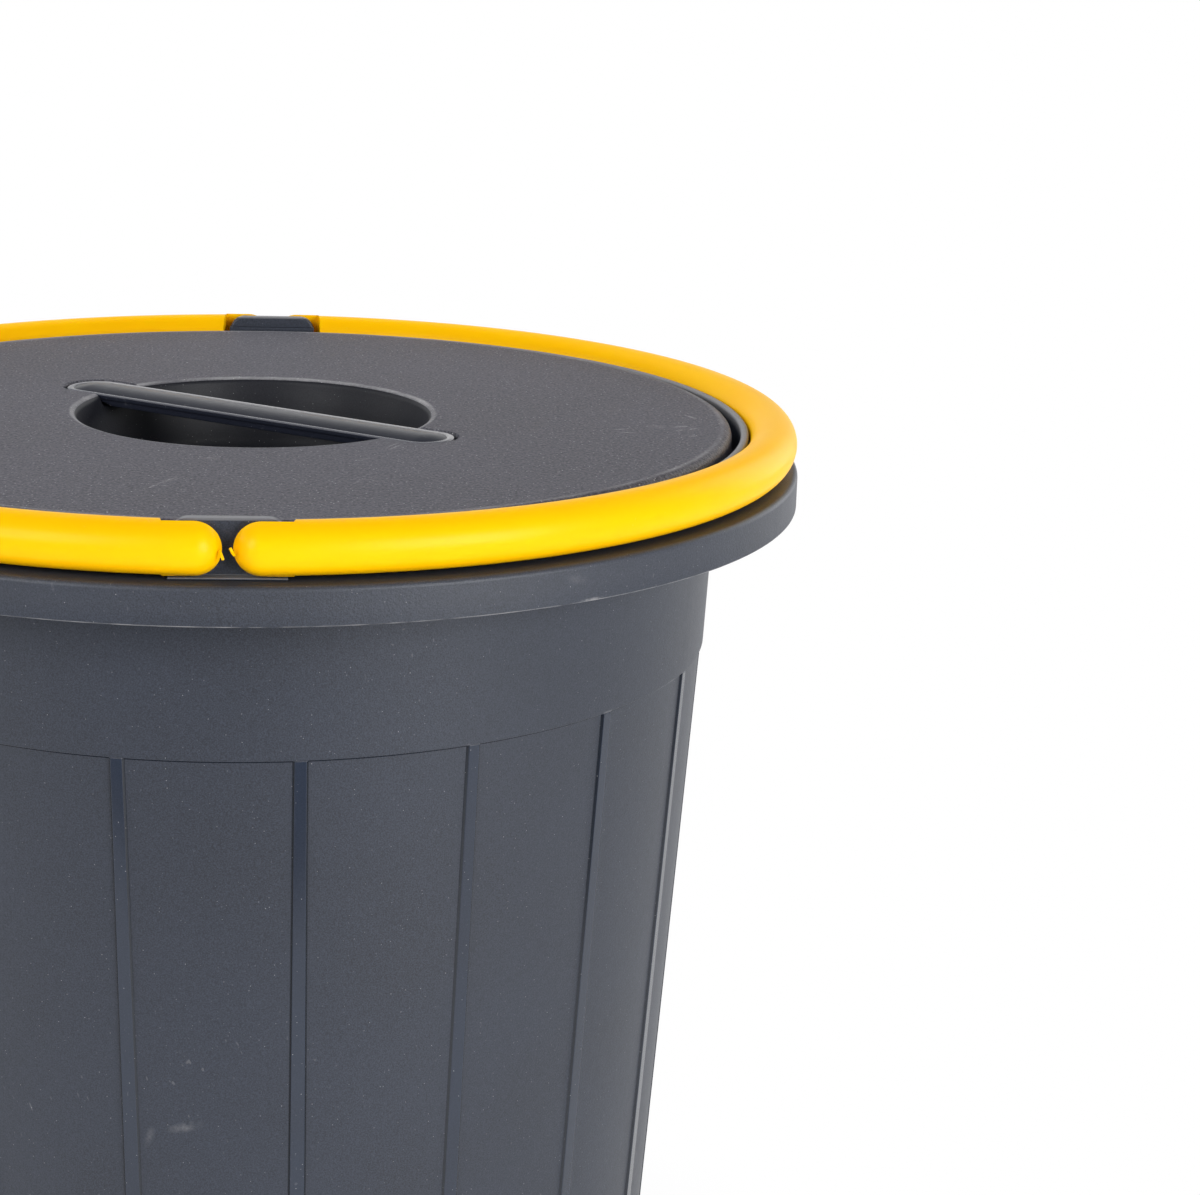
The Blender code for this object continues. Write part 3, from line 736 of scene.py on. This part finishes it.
def lid_columns():
    """Angles round the lid, close together where the pockets are."""
    rest = math.pi - 2 * pocket_turn
    angles = []
    for start in (0, math.pi):
        first = start - pocket_turn
        angles += [first + 2 * pocket_turn * step / pocket_columns for step in range(pocket_columns)]
        angles += [start + pocket_turn + rest * step / plain_columns for step in range(plain_columns)]
    return angles


# Each row of the lid is (radius, height, how it follows the pockets). The recess wall is
# squeezed down under a pocket, the deck dips into it, and the underside dips with it.
def lid_rows():
    """Rows from the middle of the recess floor over the edge and back to its underside."""
    under = lid_top - lid_wall
    floor_top = lid_top - recess_depth
    centre = (recess_floor_radius - recess_fillet, floor_top + recess_fillet)
    rim = (recess_radius + recess_rim_round, lid_top - recess_rim_round)
    edge = (lid_radius - lid_edge_round, lid_top - lid_edge_round)
    foot = (lid_radius - fit_gap, lid_rest + fit_gap)
    fine_end = bar_length / 2 + pocket_end_gap + pocket_gap + pocket_roll * 2
    locating_inner = locating_radius - locating_wall
    rows = [(share * centre[0], floor_top, "free") for share in (0.02, 0.5, 0.85)]
    rows += [(r, z, "free") for r, z in arc(centre, recess_fillet, -90, 0, 8)]
    for share in (0.25, 0.5, 0.75, 0.9):
        radius = recess_floor_radius + (recess_radius - recess_floor_radius) * share
        rows.append((radius, centre[1] + (rim[1] - centre[1]) * share, "wall"))
    rows += [(r, z, "wall") for r, z in arc(rim, recess_rim_round, 180, 90, 8)]
    for step in range(1, pocket_rows + 1):
        rows.append((rim[0] + (fine_end - rim[0]) * step / pocket_rows, lid_top, "deck"))
    rows += [(fine_end + (edge[0] - fine_end) * share, lid_top, "free") for share in (0.2, 0.5, 0.8, 0.97)]
    rows += [(r, z, "free") for r, z in arc(edge, lid_edge_round, 90, 0, 8)]
    rows += [(r, z, "free") for r, z in arc(foot, fit_gap, 0, -90, 2)]
    rows += [(lid_radius - lid_wall, lid_rest, "free"), (lid_radius - lid_wall, under, "free")]
    rows += [(locating_radius, under, "free"), (locating_radius, locating_foot, "free")]
    rows += [(locating_inner, locating_foot, "free"), (locating_inner, under, "free")]
    steps = pocket_rows // 3
    for step in range(steps + 1):
        rows.append((fine_end + (rim[0] + lid_wall - fine_end) * step / steps, under, "under"))
    rows += [(recess_radius + lid_wall, under - recess_rim_round, "back")]
    rows += [(r, z, "free") for r, z in arc(centre, recess_fillet + lid_wall, 0, -90, 6)]
    rows += [(share * centre[0], floor_top - lid_wall, "free") for share in (0.5, 0.02)]
    return rows


def lid_point(turn, radius, height, follows):
    """A point of the lid's surface, dipped where a pocket is."""
    across, along = math.cos(turn), math.sin(turn)
    x, y = radius * across, radius * along
    if follows == "deck":
        height -= pocket_sink(x, y, pocket_gap)
    if follows == "under":
        height -= pocket_sink(x, y, pocket_gap + lid_wall)
    if follows in ("wall", "back"):
        gap = pocket_gap + lid_wall if follows == "back" else pocket_gap
        rim = recess_radius + recess_rim_round
        bottom = lid_top - recess_depth + recess_fillet
        share = (height - bottom) / (lid_top - bottom)
        drop = pocket_sink(rim * across, rim * along, gap) * share
        lean = (recess_radius - recess_floor_radius) / (lid_top - recess_rim_round - bottom)
        height -= drop
        x, y = (radius - drop * lean) * across, (radius - drop * lean) * along
    return (x, y, height)


lid_grain_width = 0.0010
lid_lint = (lint_width * 1.7, 0.95, 0.68)
# Grain with a very pale light tone: real grain, with painted glints on it.
lid_tones_with_painted_glints = ("#25242E", "#2C2B36", "#6B6A73")
# The recess is smoother, and its tones are darker: painted shade in the hollow.
recess_painted_shade_tones = ("#191A20", "#1D1E24", "#27282E")
worn_line_width = 0.0014
rim_wear = 0.75
rim_wander = 0.0005
rim_wander_width = 0.004
edge_wear = 0.34
wear_patch_width = 0.028
smear_width = 0.018
lid_marks = (
    ((0.0474, -0.0656), (0.0525, -0.0548), 0.0006, 0.68),
    ((0.0484, -0.0680), (0.0539, -0.0570), 0.0005, 0.81),
    ((0.0370, -0.0870), (0.0440, -0.0790), 0.0016, 0.24),
    ((0.0356, -0.1239), (0.0404, -0.1135), 0.0005, 0.47),
    ((0.1296, -0.0272), (0.1356, -0.0258), 0.0008, 0.61),
    ((0.1306, -0.0326), (0.1385, -0.0321), 0.0008, 0.68),
    ((0.1425, -0.0181), (0.1510, -0.0235), 0.0030, 0.19),
    ((0.1517, -0.0214), (0.1590, -0.0192), 0.0018, 0.61),
    ((0.1529, -0.0288), (0.1569, -0.0247), 0.0014, 0.57),
    ((0.1570, -0.0268), (0.1612, -0.0217), 0.0014, 0.57),
    ((0.1560, -0.0385), (0.1594, -0.0358), 0.0014, 0.51),
    ((0.1592, 0.0020), (0.1632, -0.0058), 0.0010, 0.74),
    ((-0.0297, -0.1337), (-0.0245, -0.1216), 0.0005, 0.95),
    ((-0.0254, -0.1232), (-0.0196, -0.1129), 0.0005, 0.95),
    ((-0.0250, -0.1236), (-0.0187, -0.1152), 0.0004, 0.81),
    ((-0.0240, -0.1278), (-0.0226, -0.1258), 0.0009, 0.54),
    ((-0.0373, -0.1281), (-0.0356, -0.1234), 0.0005, 0.61),
    ((-0.0358, -0.1004), (-0.0342, -0.1003), 0.0009, 0.47),
    ((-0.0132, -0.0865), (-0.0088, -0.0805), 0.0040, 0.22),
)


def rubbed_lid(tree, place):
    """Mask of pale wear: worn lines round the recess rim and the outer edge, and scuffs."""
    marks = [((*start, lid_top), (*end, lid_top), width, most) for start, end, width, most in lid_marks]
    parts = add(tree, "SeparateXYZ", {"Vector": place})
    flat = add(tree, "CombineXYZ", {"X": parts.outputs["X"], "Y": parts.outputs["Y"]})
    reach = add(tree, "VectorMath", {0: flat}, operation="LENGTH").outputs["Value"]
    wobble = add(tree, "TexNoise", {"Vector": place, "Scale": 1 / rim_wander_width, "Detail": 5.0})
    uneven = add(tree, "TexNoise", {"Vector": place, "Scale": 1 / wear_patch_width, "Detail": 2.0})
    wander = add(tree, "MapRange", {"Value": wobble, "To Min": -rim_wander, "To Max": rim_wander})
    worn_place = add(tree, "Math", {0: reach, 1: wander}, operation="ADD")
    worn_rim = recess_radius + recess_rim_round * 0.6
    rim_line = near_value(tree, worn_place, worn_rim, worn_line_width, rim_wear)
    edge_line = near_value(tree, worn_place, lid_radius - lid_edge_round, worn_line_width, edge_wear)
    patches = {"Value": uneven, "From Min": 0.38, "From Max": 0.70, "To Min": 0.30}
    strength = add(tree, "MapRange", patches)
    lines = strongest(tree, (rim_line, edge_line))
    worn_lines = add(tree, "Math", {0: lines, 1: strength}, operation="MULTIPLY")
    pattern = {"Vector": place, "Scale": 1 / smear_width, "Detail": 9.0, "Roughness": 0.72}
    smear = add(tree, "TexNoise", pattern)
    scuff = add(tree, "MapRange", {"Value": smear, "From Min": 0.62, "From Max": 0.85, "To Max": 0.30})
    return strongest(tree, (worn_lines, scuff, rub_marks(tree, place, marks)))


lid_scratches = (math.pi / 2, 0.0, 0.9)
matt_lid = moulded_polypropylene(
    "matt_lid_polypropylene",
    lid_tones_with_painted_glints,
    lid_scratches,
    rubbed_lid,
    0.55,
    grain_width / 1.2,
    grain_size=lid_grain_width,
    lint=lid_lint,
)
smooth_painted_shade_recess = moulded_polypropylene(
    "painted_shade_recess_polypropylene", recess_painted_shade_tones, lid_scratches, unmarked, 0.5, grain_width / 8, gloss=0.25
)

lid_turned = Matrix.Rotation(lid_turn, 4, "Z")
lid_points = []
for radius, height, follows in lid_rows():
    row = [Vector(lid_point(turn, radius, height, follows)) for turn in lid_columns()]
    lid_points.append([lid_turned @ point for point in row])
lid_poles = [(0.0, 0.0, lid_points[end][0].z) for end in (0, -1)]
lid = skin("lid_shell", lid_points, matt_lid, lid_poles)
lid.data.materials.append(smooth_painted_shade_recess)
# Faces inside the recess take the darker material: painted shade.
for face in lid.data.polygons:
    x, y, z = face.center
    inside = math.hypot(x, y) < recess_radius + recess_rim_round / 3
    if inside and z > lid_top - recess_depth - lid_wall / 2:
        face.material_index = 1
flat_faces_stay_flat(lid)
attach(lid, "lid")
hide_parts("lid")

# Lid ribs: twelve radial ribs under the deck, from the recess wall to the locating ring,
# moulded with the lid to keep it flat.
rib_inner = recess_radius + lid_wall - fit_gap
rib_outer = locating_radius - locating_wall + fit_gap
rib_outline = rectangle(rib_inner, rib_outer, -rib_wall / 2, rib_wall / 2)
rib_top = lid_top - lid_wall + fit_gap
for index in range(rib_count):
    turn = Matrix.Rotation(lid_turn + (index + 0.5) * math.tau / rib_count, 4, "Z")
    rib = prism(f"lid_rib_{index + 1}", rib_outline, lid_top - lid_wall - rib_drop, rib_top, turn)
    rib.data.materials.append(matt_lid)
    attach(rib, "lid")


# Grip bar: a separate moulding that snaps into the two pockets. Its crowned cap has a raised
# bead all round, and two thin webs hang below it where fingers reach under.

bar_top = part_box("lid_grip_bar")[1].z
cap_edge = 0.0018
bead_width = 0.0027
bead_sink = 0.0004
edge_step = 0.0001
bead_steps = 8
crown_rise = 0.0013
side_round = 0.0002
web_inset = 0.0006
web_wall = 0.0020
web_depth = 0.0044
web_round = 0.0003
cap_round = 0.0003
seat_depth = 0.0033
web_reach = 0.0618
bar_tones = ("#181B25", "#1C1F2A", "#242732")
# The bead is lighter than the cap and pales further towards the rear: painted highlights.
bead_painted_highlight_tones = ("#4C4D55", "#52535B", "#5E5F67")
finger_smear_width = 0.006
bead_rear_highlight = 0.68
bead_rear_highlight_start = -0.006
bead_rear_highlight_full = 0.008


def rubbed_bar(tree, place):
    """Mask of the faint smears that fingers leave on the bar."""
    pattern = {"Vector": place, "Scale": 1 / finger_smear_width, "Detail": 8.0, "Roughness": 0.75}
    smear = add(tree, "TexNoise", pattern)
    return add(tree, "MapRange", {"Value": smear, "From Min": 0.60, "From Max": 0.85, "To Max": 0.35})


def painted_rear_bead_highlight(tree, place):
    """Mask that pales the bead towards the rear side of the bar: a painted highlight."""
    turned = {"Vector": place, "Angle": -lid_turn}
    along_bar = add(tree, "VectorRotate", turned, rotation_type="Z_AXIS")
    across = add(tree, "SeparateXYZ", {"Vector": along_bar}).outputs["Y"]
    limits = {"From Min": bead_rear_highlight_start, "From Max": bead_rear_highlight_full, "To Max": bead_rear_highlight}
    return add(tree, "MapRange", {"Value": across, **limits})


glossy_bar = moulded_polypropylene(
    "smooth_bar_polypropylene", bar_tones, lid_scratches, rubbed_bar, 0.3, grain_width / 20, gloss=0.16
)
# The bead's lighter colour and its paler rear side are painted highlights.
painted_highlight_bead = moulded_polypropylene(
    "rubbed_bead_polypropylene", bead_painted_highlight_tones, lid_scratches, painted_rear_bead_highlight, 0.25, grain_width / 20
)


def bar_outline(inset, ends=20, sides=64):
    """Outline of the bar drawn in by an inset: straight sides and half-ellipse ends."""
    half_width = bar_width / 2 - inset
    end_depth = bar_end - inset * bar_end / (bar_width / 2)
    straight = bar_length / 2 - inset - end_depth
    points = []
    for side, start in ((1, -90), (-1, 90)):
        for step in range(sides):
            points.append((side * straight * (2 * step / sides - 1), -side * half_width))
        for step in range(ends):
            angle = math.radians(start + 180 * step / ends)
            points.append((side * straight + end_depth * math.cos(angle), half_width * math.sin(angle)))
    return points


def bar_foot(x):
    """Depth of the webs below the deck: deep across the recess, shallow over the pockets."""
    share = min(max((web_reach - abs(x)) / web_wall, 0.0), 1.0)
    return seat_depth + (web_depth - seat_depth) * share


# Each row of the bar is (inset, height, height above the webs' foot), with one of the heights.
rim_top = bar_top + bead_sink - crown_rise
bead_foot = rim_top - bead_sink
cap_foot = rim_top - cap_edge
hollow_top = cap_foot - bead_sink
crown_half = bar_width / 2 - bead_width
bead_half = bead_width / 2
web_inner = web_inset + web_wall
crown_shares = (0.05, 0.2, 0.35, 0.5, 0.65, 0.8, 0.9, 0.97)
bar_rows = []
for share in crown_shares:
    inset = bar_width / 2 - crown_half * share
    bar_rows.append((inset, bead_foot + crown_rise * (1 - share * share), None))
bar_rows.append((bead_width - edge_step, bead_foot, None))
for step in range(bead_steps + 1):
    turn = math.pi * step / bead_steps
    inset = bead_half + (bead_half - edge_step) * math.cos(turn)
    bar_rows.append((inset, bead_foot + bead_sink * math.sin(turn), None))
bar_rows += [(0.0, bead_foot - side_round, None), (0.0, cap_foot + cap_round, None)]
bar_rows += [(cap_round, cap_foot, None), (web_inset - cap_round, cap_foot - edge_step, None)]
bar_rows += [(web_inset, hollow_top, None), (web_inset, 0.0, web_round)]
bar_rows += [(web_inset + web_round, 0.0, 0.0), (web_inner - web_round, 0.0, 0.0)]
bar_rows += [(web_inner, 0.0, web_round), (web_inner, hollow_top, None)]

bar_points = []
for inset, height, above_foot in bar_rows:
    row = []
    for x, y in bar_outline(inset):
        level = height if above_foot is None else lid_top - bar_foot(x) + above_foot
        row.append(lid_turned @ Vector((x, y, level)))
    bar_points.append(row)
grip_bar = skin("grip_bar_cap", bar_points, glossy_bar)
grip_bar.data.materials.append(painted_highlight_bead)
first_bead_row = len(crown_shares) + 1
# The bead rows take the lighter material: painted highlight.
for face in grip_bar.data.polygons:
    if first_bead_row <= face.index // len(bar_points[0]) < first_bead_row + bead_steps:
        face.material_index = 1
flat_faces_stay_flat(grip_bar)
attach(grip_bar, "lid")
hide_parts("lid_grip_bar")


# Half rings: two carrying handles of yellow polypropylene, moulded thick and smooth, with
# ball ends. Their inner halves are notched at the hinges, where each end turns on a stud.

ring_low, ring_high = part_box("handle_right")
tube_radius = (ring_high.z - ring_low.z) / 2
ring_height = (ring_high.z + ring_low.z) / 2
ring_radius = ring_high.x - tube_radius
hinges = {joint["name"]: joint for joint in frame["record"]["behaviour"]["joints"]}
pivot_reach = hinges["right_ring_hinge"]["pos_m"][0]
notch_face = ring_radius + 0.0012
notch_length = 0.0197
notch_roll = 0.0016
notch_edge_round = 0.0005
stud_radius = 0.0026
stud_length = 0.0044
stud_turns = (0, 345, 23)
bore_overrun = 0.0020
ring_sides = 96
ball_steps = 14
end_steps = 70
middle_steps = 150
end_fine_reach = 0.026
end_angle = math.acos(pivot_reach / ring_radius)


def ring_stations():
    """(angle, swell) along a half ring: fine steps near both ends, and the ball ends."""
    fine = end_fine_reach / ring_radius
    middle = end_angle - fine
    swells = [90 * step / ball_steps for step in range(1, ball_steps)]
    steps = [(-end_angle, swell - 90) for swell in swells]
    steps += [(-end_angle + fine * step / end_steps, 0) for step in range(end_steps)]
    steps += [(-middle + 2 * middle * step / middle_steps, 0) for step in range(middle_steps + 1)]
    steps += [(middle + fine * step / end_steps, 0) for step in range(1, end_steps + 1)]
    steps += [(end_angle, swell) for swell in swells]
    return steps


def notched(point):
    """Lift a point of the ring to its height, pressed out to the notch face if it's in a notch."""
    x, y, z = point
    if x <= end_fine_reach:
        inside = ring_radius - 2 * tube_radius
        face = inside + (notch_face - inside) * smooth_step((notch_length + notch_roll - x) / notch_roll)
        gap = abs(y) - face
        pressed = face + (gap + math.sqrt(gap * gap + notch_edge_round ** 2)) / 2
        y = math.copysign(pressed, y)
    return Vector((x, y, z + ring_height))


def half_ring_rows():
    """Rows of points along the right half ring, at its place on the bin."""
    rows = []
    for angle, swell in ring_stations():
        outward = Vector((math.cos(angle), math.sin(angle), 0))
        along = Vector((-math.sin(angle), math.cos(angle), 0))
        lean = math.radians(swell)
        centre = outward * ring_radius + along * tube_radius * math.sin(lean)
        radius = tube_radius * math.cos(lean)
        row = []
        for side in range(ring_sides):
            turn = math.tau * side / ring_sides
            offset = (outward * math.cos(turn) + Vector((0, 0, math.sin(turn)))) * radius
            row.append(notched(centre + offset))
        rows.append(row)
    return rows


# The yellow is a satin polypropylene from a polished mould. A little light passes into it, so
# its shaded side stays warm, its skin mirrors the room weakly, and rubbing leaves streaks.
yellow_hex = "#FFC000"
deep_yellow_hex = "#FFB600"
yellow_scratch_hex = "#FFE9A0"
yellow_scratches = (math.pi / 2, 0.3, 0.4)
yellow_scratch_strength = 0.10
flow_width = 0.030
ripple_width = 0.0012
ripple_depth = 0.0003
yellow_depth = (0.004, 0.0022, 0.0004)


def satin_polypropylene(name, main, deep):
    """Yellow polypropylene with soft gloss, faint flow streaks and slight depth."""
    surface = bpy.data.materials.new(name)
    tree = new_tree(surface)
    place = add(tree, "TexCoord").outputs["Object"]
    flow = add(tree, "TexNoise", {"Vector": place, "Scale": 1 / flow_width, "Detail": 2.0})
    fine = add(tree, "TexNoise", {"Vector": place, "Scale": 1 / ripple_width, "Detail": 2.0})
    share = add(tree, "MapRange", {"Value": flow, "From Min": 0.35, "From Max": 0.7, "To Max": 0.35})
    colour = mixed(tree, share, main, deep)
    scratch = hairlines(tree, place, yellow_scratches, yellow_scratch_strength)
    colour = mixed(tree, scratch, colour, yellow_scratch_hex)
    rough = add(tree, "MapRange", {"Value": flow, "To Min": 0.34, "To Max": 0.44})
    bump = add(tree, "Bump", {"Height": fine, "Strength": 0.06, "Distance": ripple_depth})
    shader = add(
        tree,
        "BsdfPrincipled",
        {
            "Base Color": colour,
            "Roughness": rough,
            "IOR": polypropylene_ior,
            "Specular IOR Level": 0.045,
            "Coat Weight": 0.12,
            "Coat Roughness": 0.30,
            "Subsurface Weight": 0.12,
            "Subsurface Radius": yellow_depth,
            "Subsurface Scale": 1.0,
            "Normal": bump,
        },
    )
    add(tree, "OutputMaterial", {"Surface": shader})
    return surface


def half_turned(piece, name):
    """A copy of a piece, turned half round the bin's axis."""
    mesh = piece.data.copy()
    mesh.transform(Matrix.Rotation(math.pi, 4, "Z"))
    return put_in_scene(name, mesh)


yellow = satin_polypropylene("yellow_polypropylene", yellow_hex, deep_yellow_hex)

ring_poles = []
for side in (-1, 1):
    outward = Vector((math.cos(end_angle), side * math.sin(end_angle), 0))
    along = Vector((-math.sin(end_angle), side * math.cos(end_angle), 0))
    ring_poles.append(notched(outward * ring_radius + along * tube_radius))
right_ring = skin("right_half_ring", half_ring_rows(), yellow, ring_poles)
for side in (-1, 1):
    level = Matrix.Rotation(math.radians(-90 * side), 4, "X")
    lie = Matrix.Translation((pivot_reach, 0, ring_height)) @ level
    circle = arc((0, 0), stud_radius + fit_gap, *stud_turns)
    bore_end = notch_face + stud_length + fit_gap
    bore = prism("stud_bore", circle, notch_face - bore_overrun, bore_end, lie)
    cut_or_join(right_ring, bore, "DIFFERENCE")

left_ring = half_turned(right_ring, "left_half_ring")
for half_ring, body, node in (
    (right_ring, "right_ring", "handle_right"),
    (left_ring, "left_ring", "handle_left"),
):
    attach(half_ring, body)
    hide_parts(node)


# Hinge blocks: dark tabs that stand on the rim between the ring tips and snap through it with
# two hooked legs. A stud on each side of the tab carries an end of each half ring.

tab_width = 0.0360
tab_wall = 0.0044
tab_outer = ring_radius - 0.0021
tab_inner = tab_outer - tab_wall
tab_shoulder = 0.0062
tab_edge_round = 0.0008
tab_wear = 0.42
heel_gap = 0.0004
heel_rise = 0.0013
heel_round = 0.0005
toe_reach = 0.0040
toe_height = 0.0005
toe_round = 0.0003
toe_wear = 0.40
collar_radius = 0.0042
leg_width = 0.0080
leg_wall = 0.0022
leg_spread = 0.0100
hook_reach = 0.0010
hook_height = 0.0016
foot = rim_height + fit_gap
leg_place = tab_outer - tab_wall / 2


def tab_outline(inset):
    """Front view of the tab, drawn in by an inset: straight sides and rounded shoulders."""
    half = tab_width / 2 - inset
    shoulder = tab_shoulder - inset
    shoulder_height = ring_height + tube_radius - tab_shoulder
    points = [(-half, foot + inset), (half, foot + inset)]
    points += arc((half - shoulder, shoulder_height), shoulder, 0, 90, 14)
    points += arc((shoulder - half, shoulder_height), shoulder, 90, 180, 14)
    return points


def softened_box(name, outline, low, high, edge):
    """A rectangle extruded upwards with its top edges rounded."""
    (left, front), (right, rear) = outline[0], outline[2]
    rows = [(0.0, low)]
    rows += [(edge - inset, level) for inset, level in arc((0.0, high - edge), edge, 0, 90, 4)]
    points = []
    for inset, level in rows:
        corners = rectangle(left + inset, right - inset, front + inset, rear - inset)
        points.append([(x, y, level) for x, y in corners])
    return skin(name, points)


def worn_tab(tree, place):
    """Mask of the rubbed top edge of the tab and the rubbed edge of its toe."""
    height = add(tree, "SeparateXYZ", {"Vector": place}).outputs["Z"]
    top = near_value(tree, height, ring_height + tube_radius, tab_edge_round, tab_wear)
    toe = near_value(tree, height, foot + toe_height, toe_round, toe_wear)
    return strongest(tree, (top, toe))


edge_worn_anthracite = moulded_polypropylene(
    "edge_worn_anthracite", anthracite_tones, body_scratches, worn_tab, 0.42, grain_width / 6
)


def hinge_block(name, surface):
    """The whole block at the front of the bin."""
    half = tab_width / 2
    edges = arc((tab_edge_round, tab_inner + tab_edge_round), tab_edge_round, 270, 180, 5)
    edges += arc((tab_edge_round, tab_outer - tab_edge_round), tab_edge_round, 180, 90, 5)
    rows = [[(x, -reach, z) for x, z in tab_outline(inset)] for inset, reach in edges]
    block = skin(name, rows)
    heel = rectangle(-half, half, -leg_place, -upstand_radius - heel_gap)
    heel_top = rim_height + upstand_height + heel_rise
    cut_or_join(block, softened_box("heel", heel, foot, heel_top, heel_round), "UNION")
    toe = rectangle(-half, half, -tab_outer - toe_reach, -leg_place)
    cut_or_join(block, softened_box("toe", toe, foot, foot + toe_height, toe_round), "UNION")
    collar_end = notch_face - fit_gap
    stud = [(collar_radius, leg_place), (collar_radius, collar_end), (stud_radius, collar_end)]
    stud += [(stud_radius, notch_face + stud_length)]
    for side in (-1, 1):
        rows = []
        for radius, reach in stud:
            circle = arc((side * pivot_reach, ring_height), radius, *stud_turns)
            rows.append([(x, -reach, z) for x, z in circle])
        cut_or_join(block, skin("stud", rows), "UNION")
    under = rim_height - flange_wall - fit_gap
    top = foot + toe_height / 2
    near, far = -leg_place - leg_wall / 2, -leg_place + leg_wall / 2
    leg = [(far, top), (near, top), (near, under), (near - hook_reach, under)]
    leg += [(near, under - hook_height), (far, under - hook_height)]
    stand = Matrix.Rotation(math.pi / 2, 4, "Z") @ Matrix.Rotation(math.pi / 2, 4, "X")
    for side in (-1, 1):
        middle = side * leg_spread
        leg_body = prism("leg", leg, middle - leg_width / 2, middle + leg_width / 2, stand)
        cut_or_join(block, leg_body, "UNION")
    block.data.materials.clear()
    block.data.materials.append(surface)
    return block


front_block = hinge_block("front_hinge_block", edge_worn_anthracite)
rear_block = half_turned(front_block, "rear_hinge_block")
for block, node in ((front_block, "hinge_block_front"), (rear_block, "hinge_block_rear")):
    flat_faces_stay_flat(block)
    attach(block, "bin")
    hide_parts(node)


# Gate curls: short threads of yellow plastic left on the front tips, where the runner was
# twisted off after moulding.

curl_radius = 0.00045
left_curl = (
    (-0.0021, -0.1952, 0.4298),
    (-0.0017, -0.1964, 0.4292),
    (-0.0014, -0.1969, 0.4284),
    (-0.0011, -0.1968, 0.4276),
)
right_curl = (
    (0.0021, -0.1952, 0.4286),
    (0.0017, -0.1966, 0.4294),
    (0.0013, -0.1971, 0.4305),
    (0.0011, -0.1972, 0.4313),
)
for name, body, points in (
    ("left_gate_curl", "left_ring", left_curl),
    ("right_gate_curl", "right_ring", right_curl),
):
    thread = bpy.data.curves.new(name, "CURVE")
    thread.dimensions = "3D"
    thread.bevel_depth = curl_radius
    thread.bevel_resolution = 4
    thread.resolution_u = 8
    thread.use_fill_caps = True
    spline = thread.splines.new("NURBS")
    spline.points.add(len(points) - 1)
    for knot, point in zip(spline.points, points):
        knot.co = (*point, 1.0)
    spline.use_endpoint_u = True
    thread.materials.append(yellow)
    curl = put_in_scene(name, thread)
    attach(curl, body)
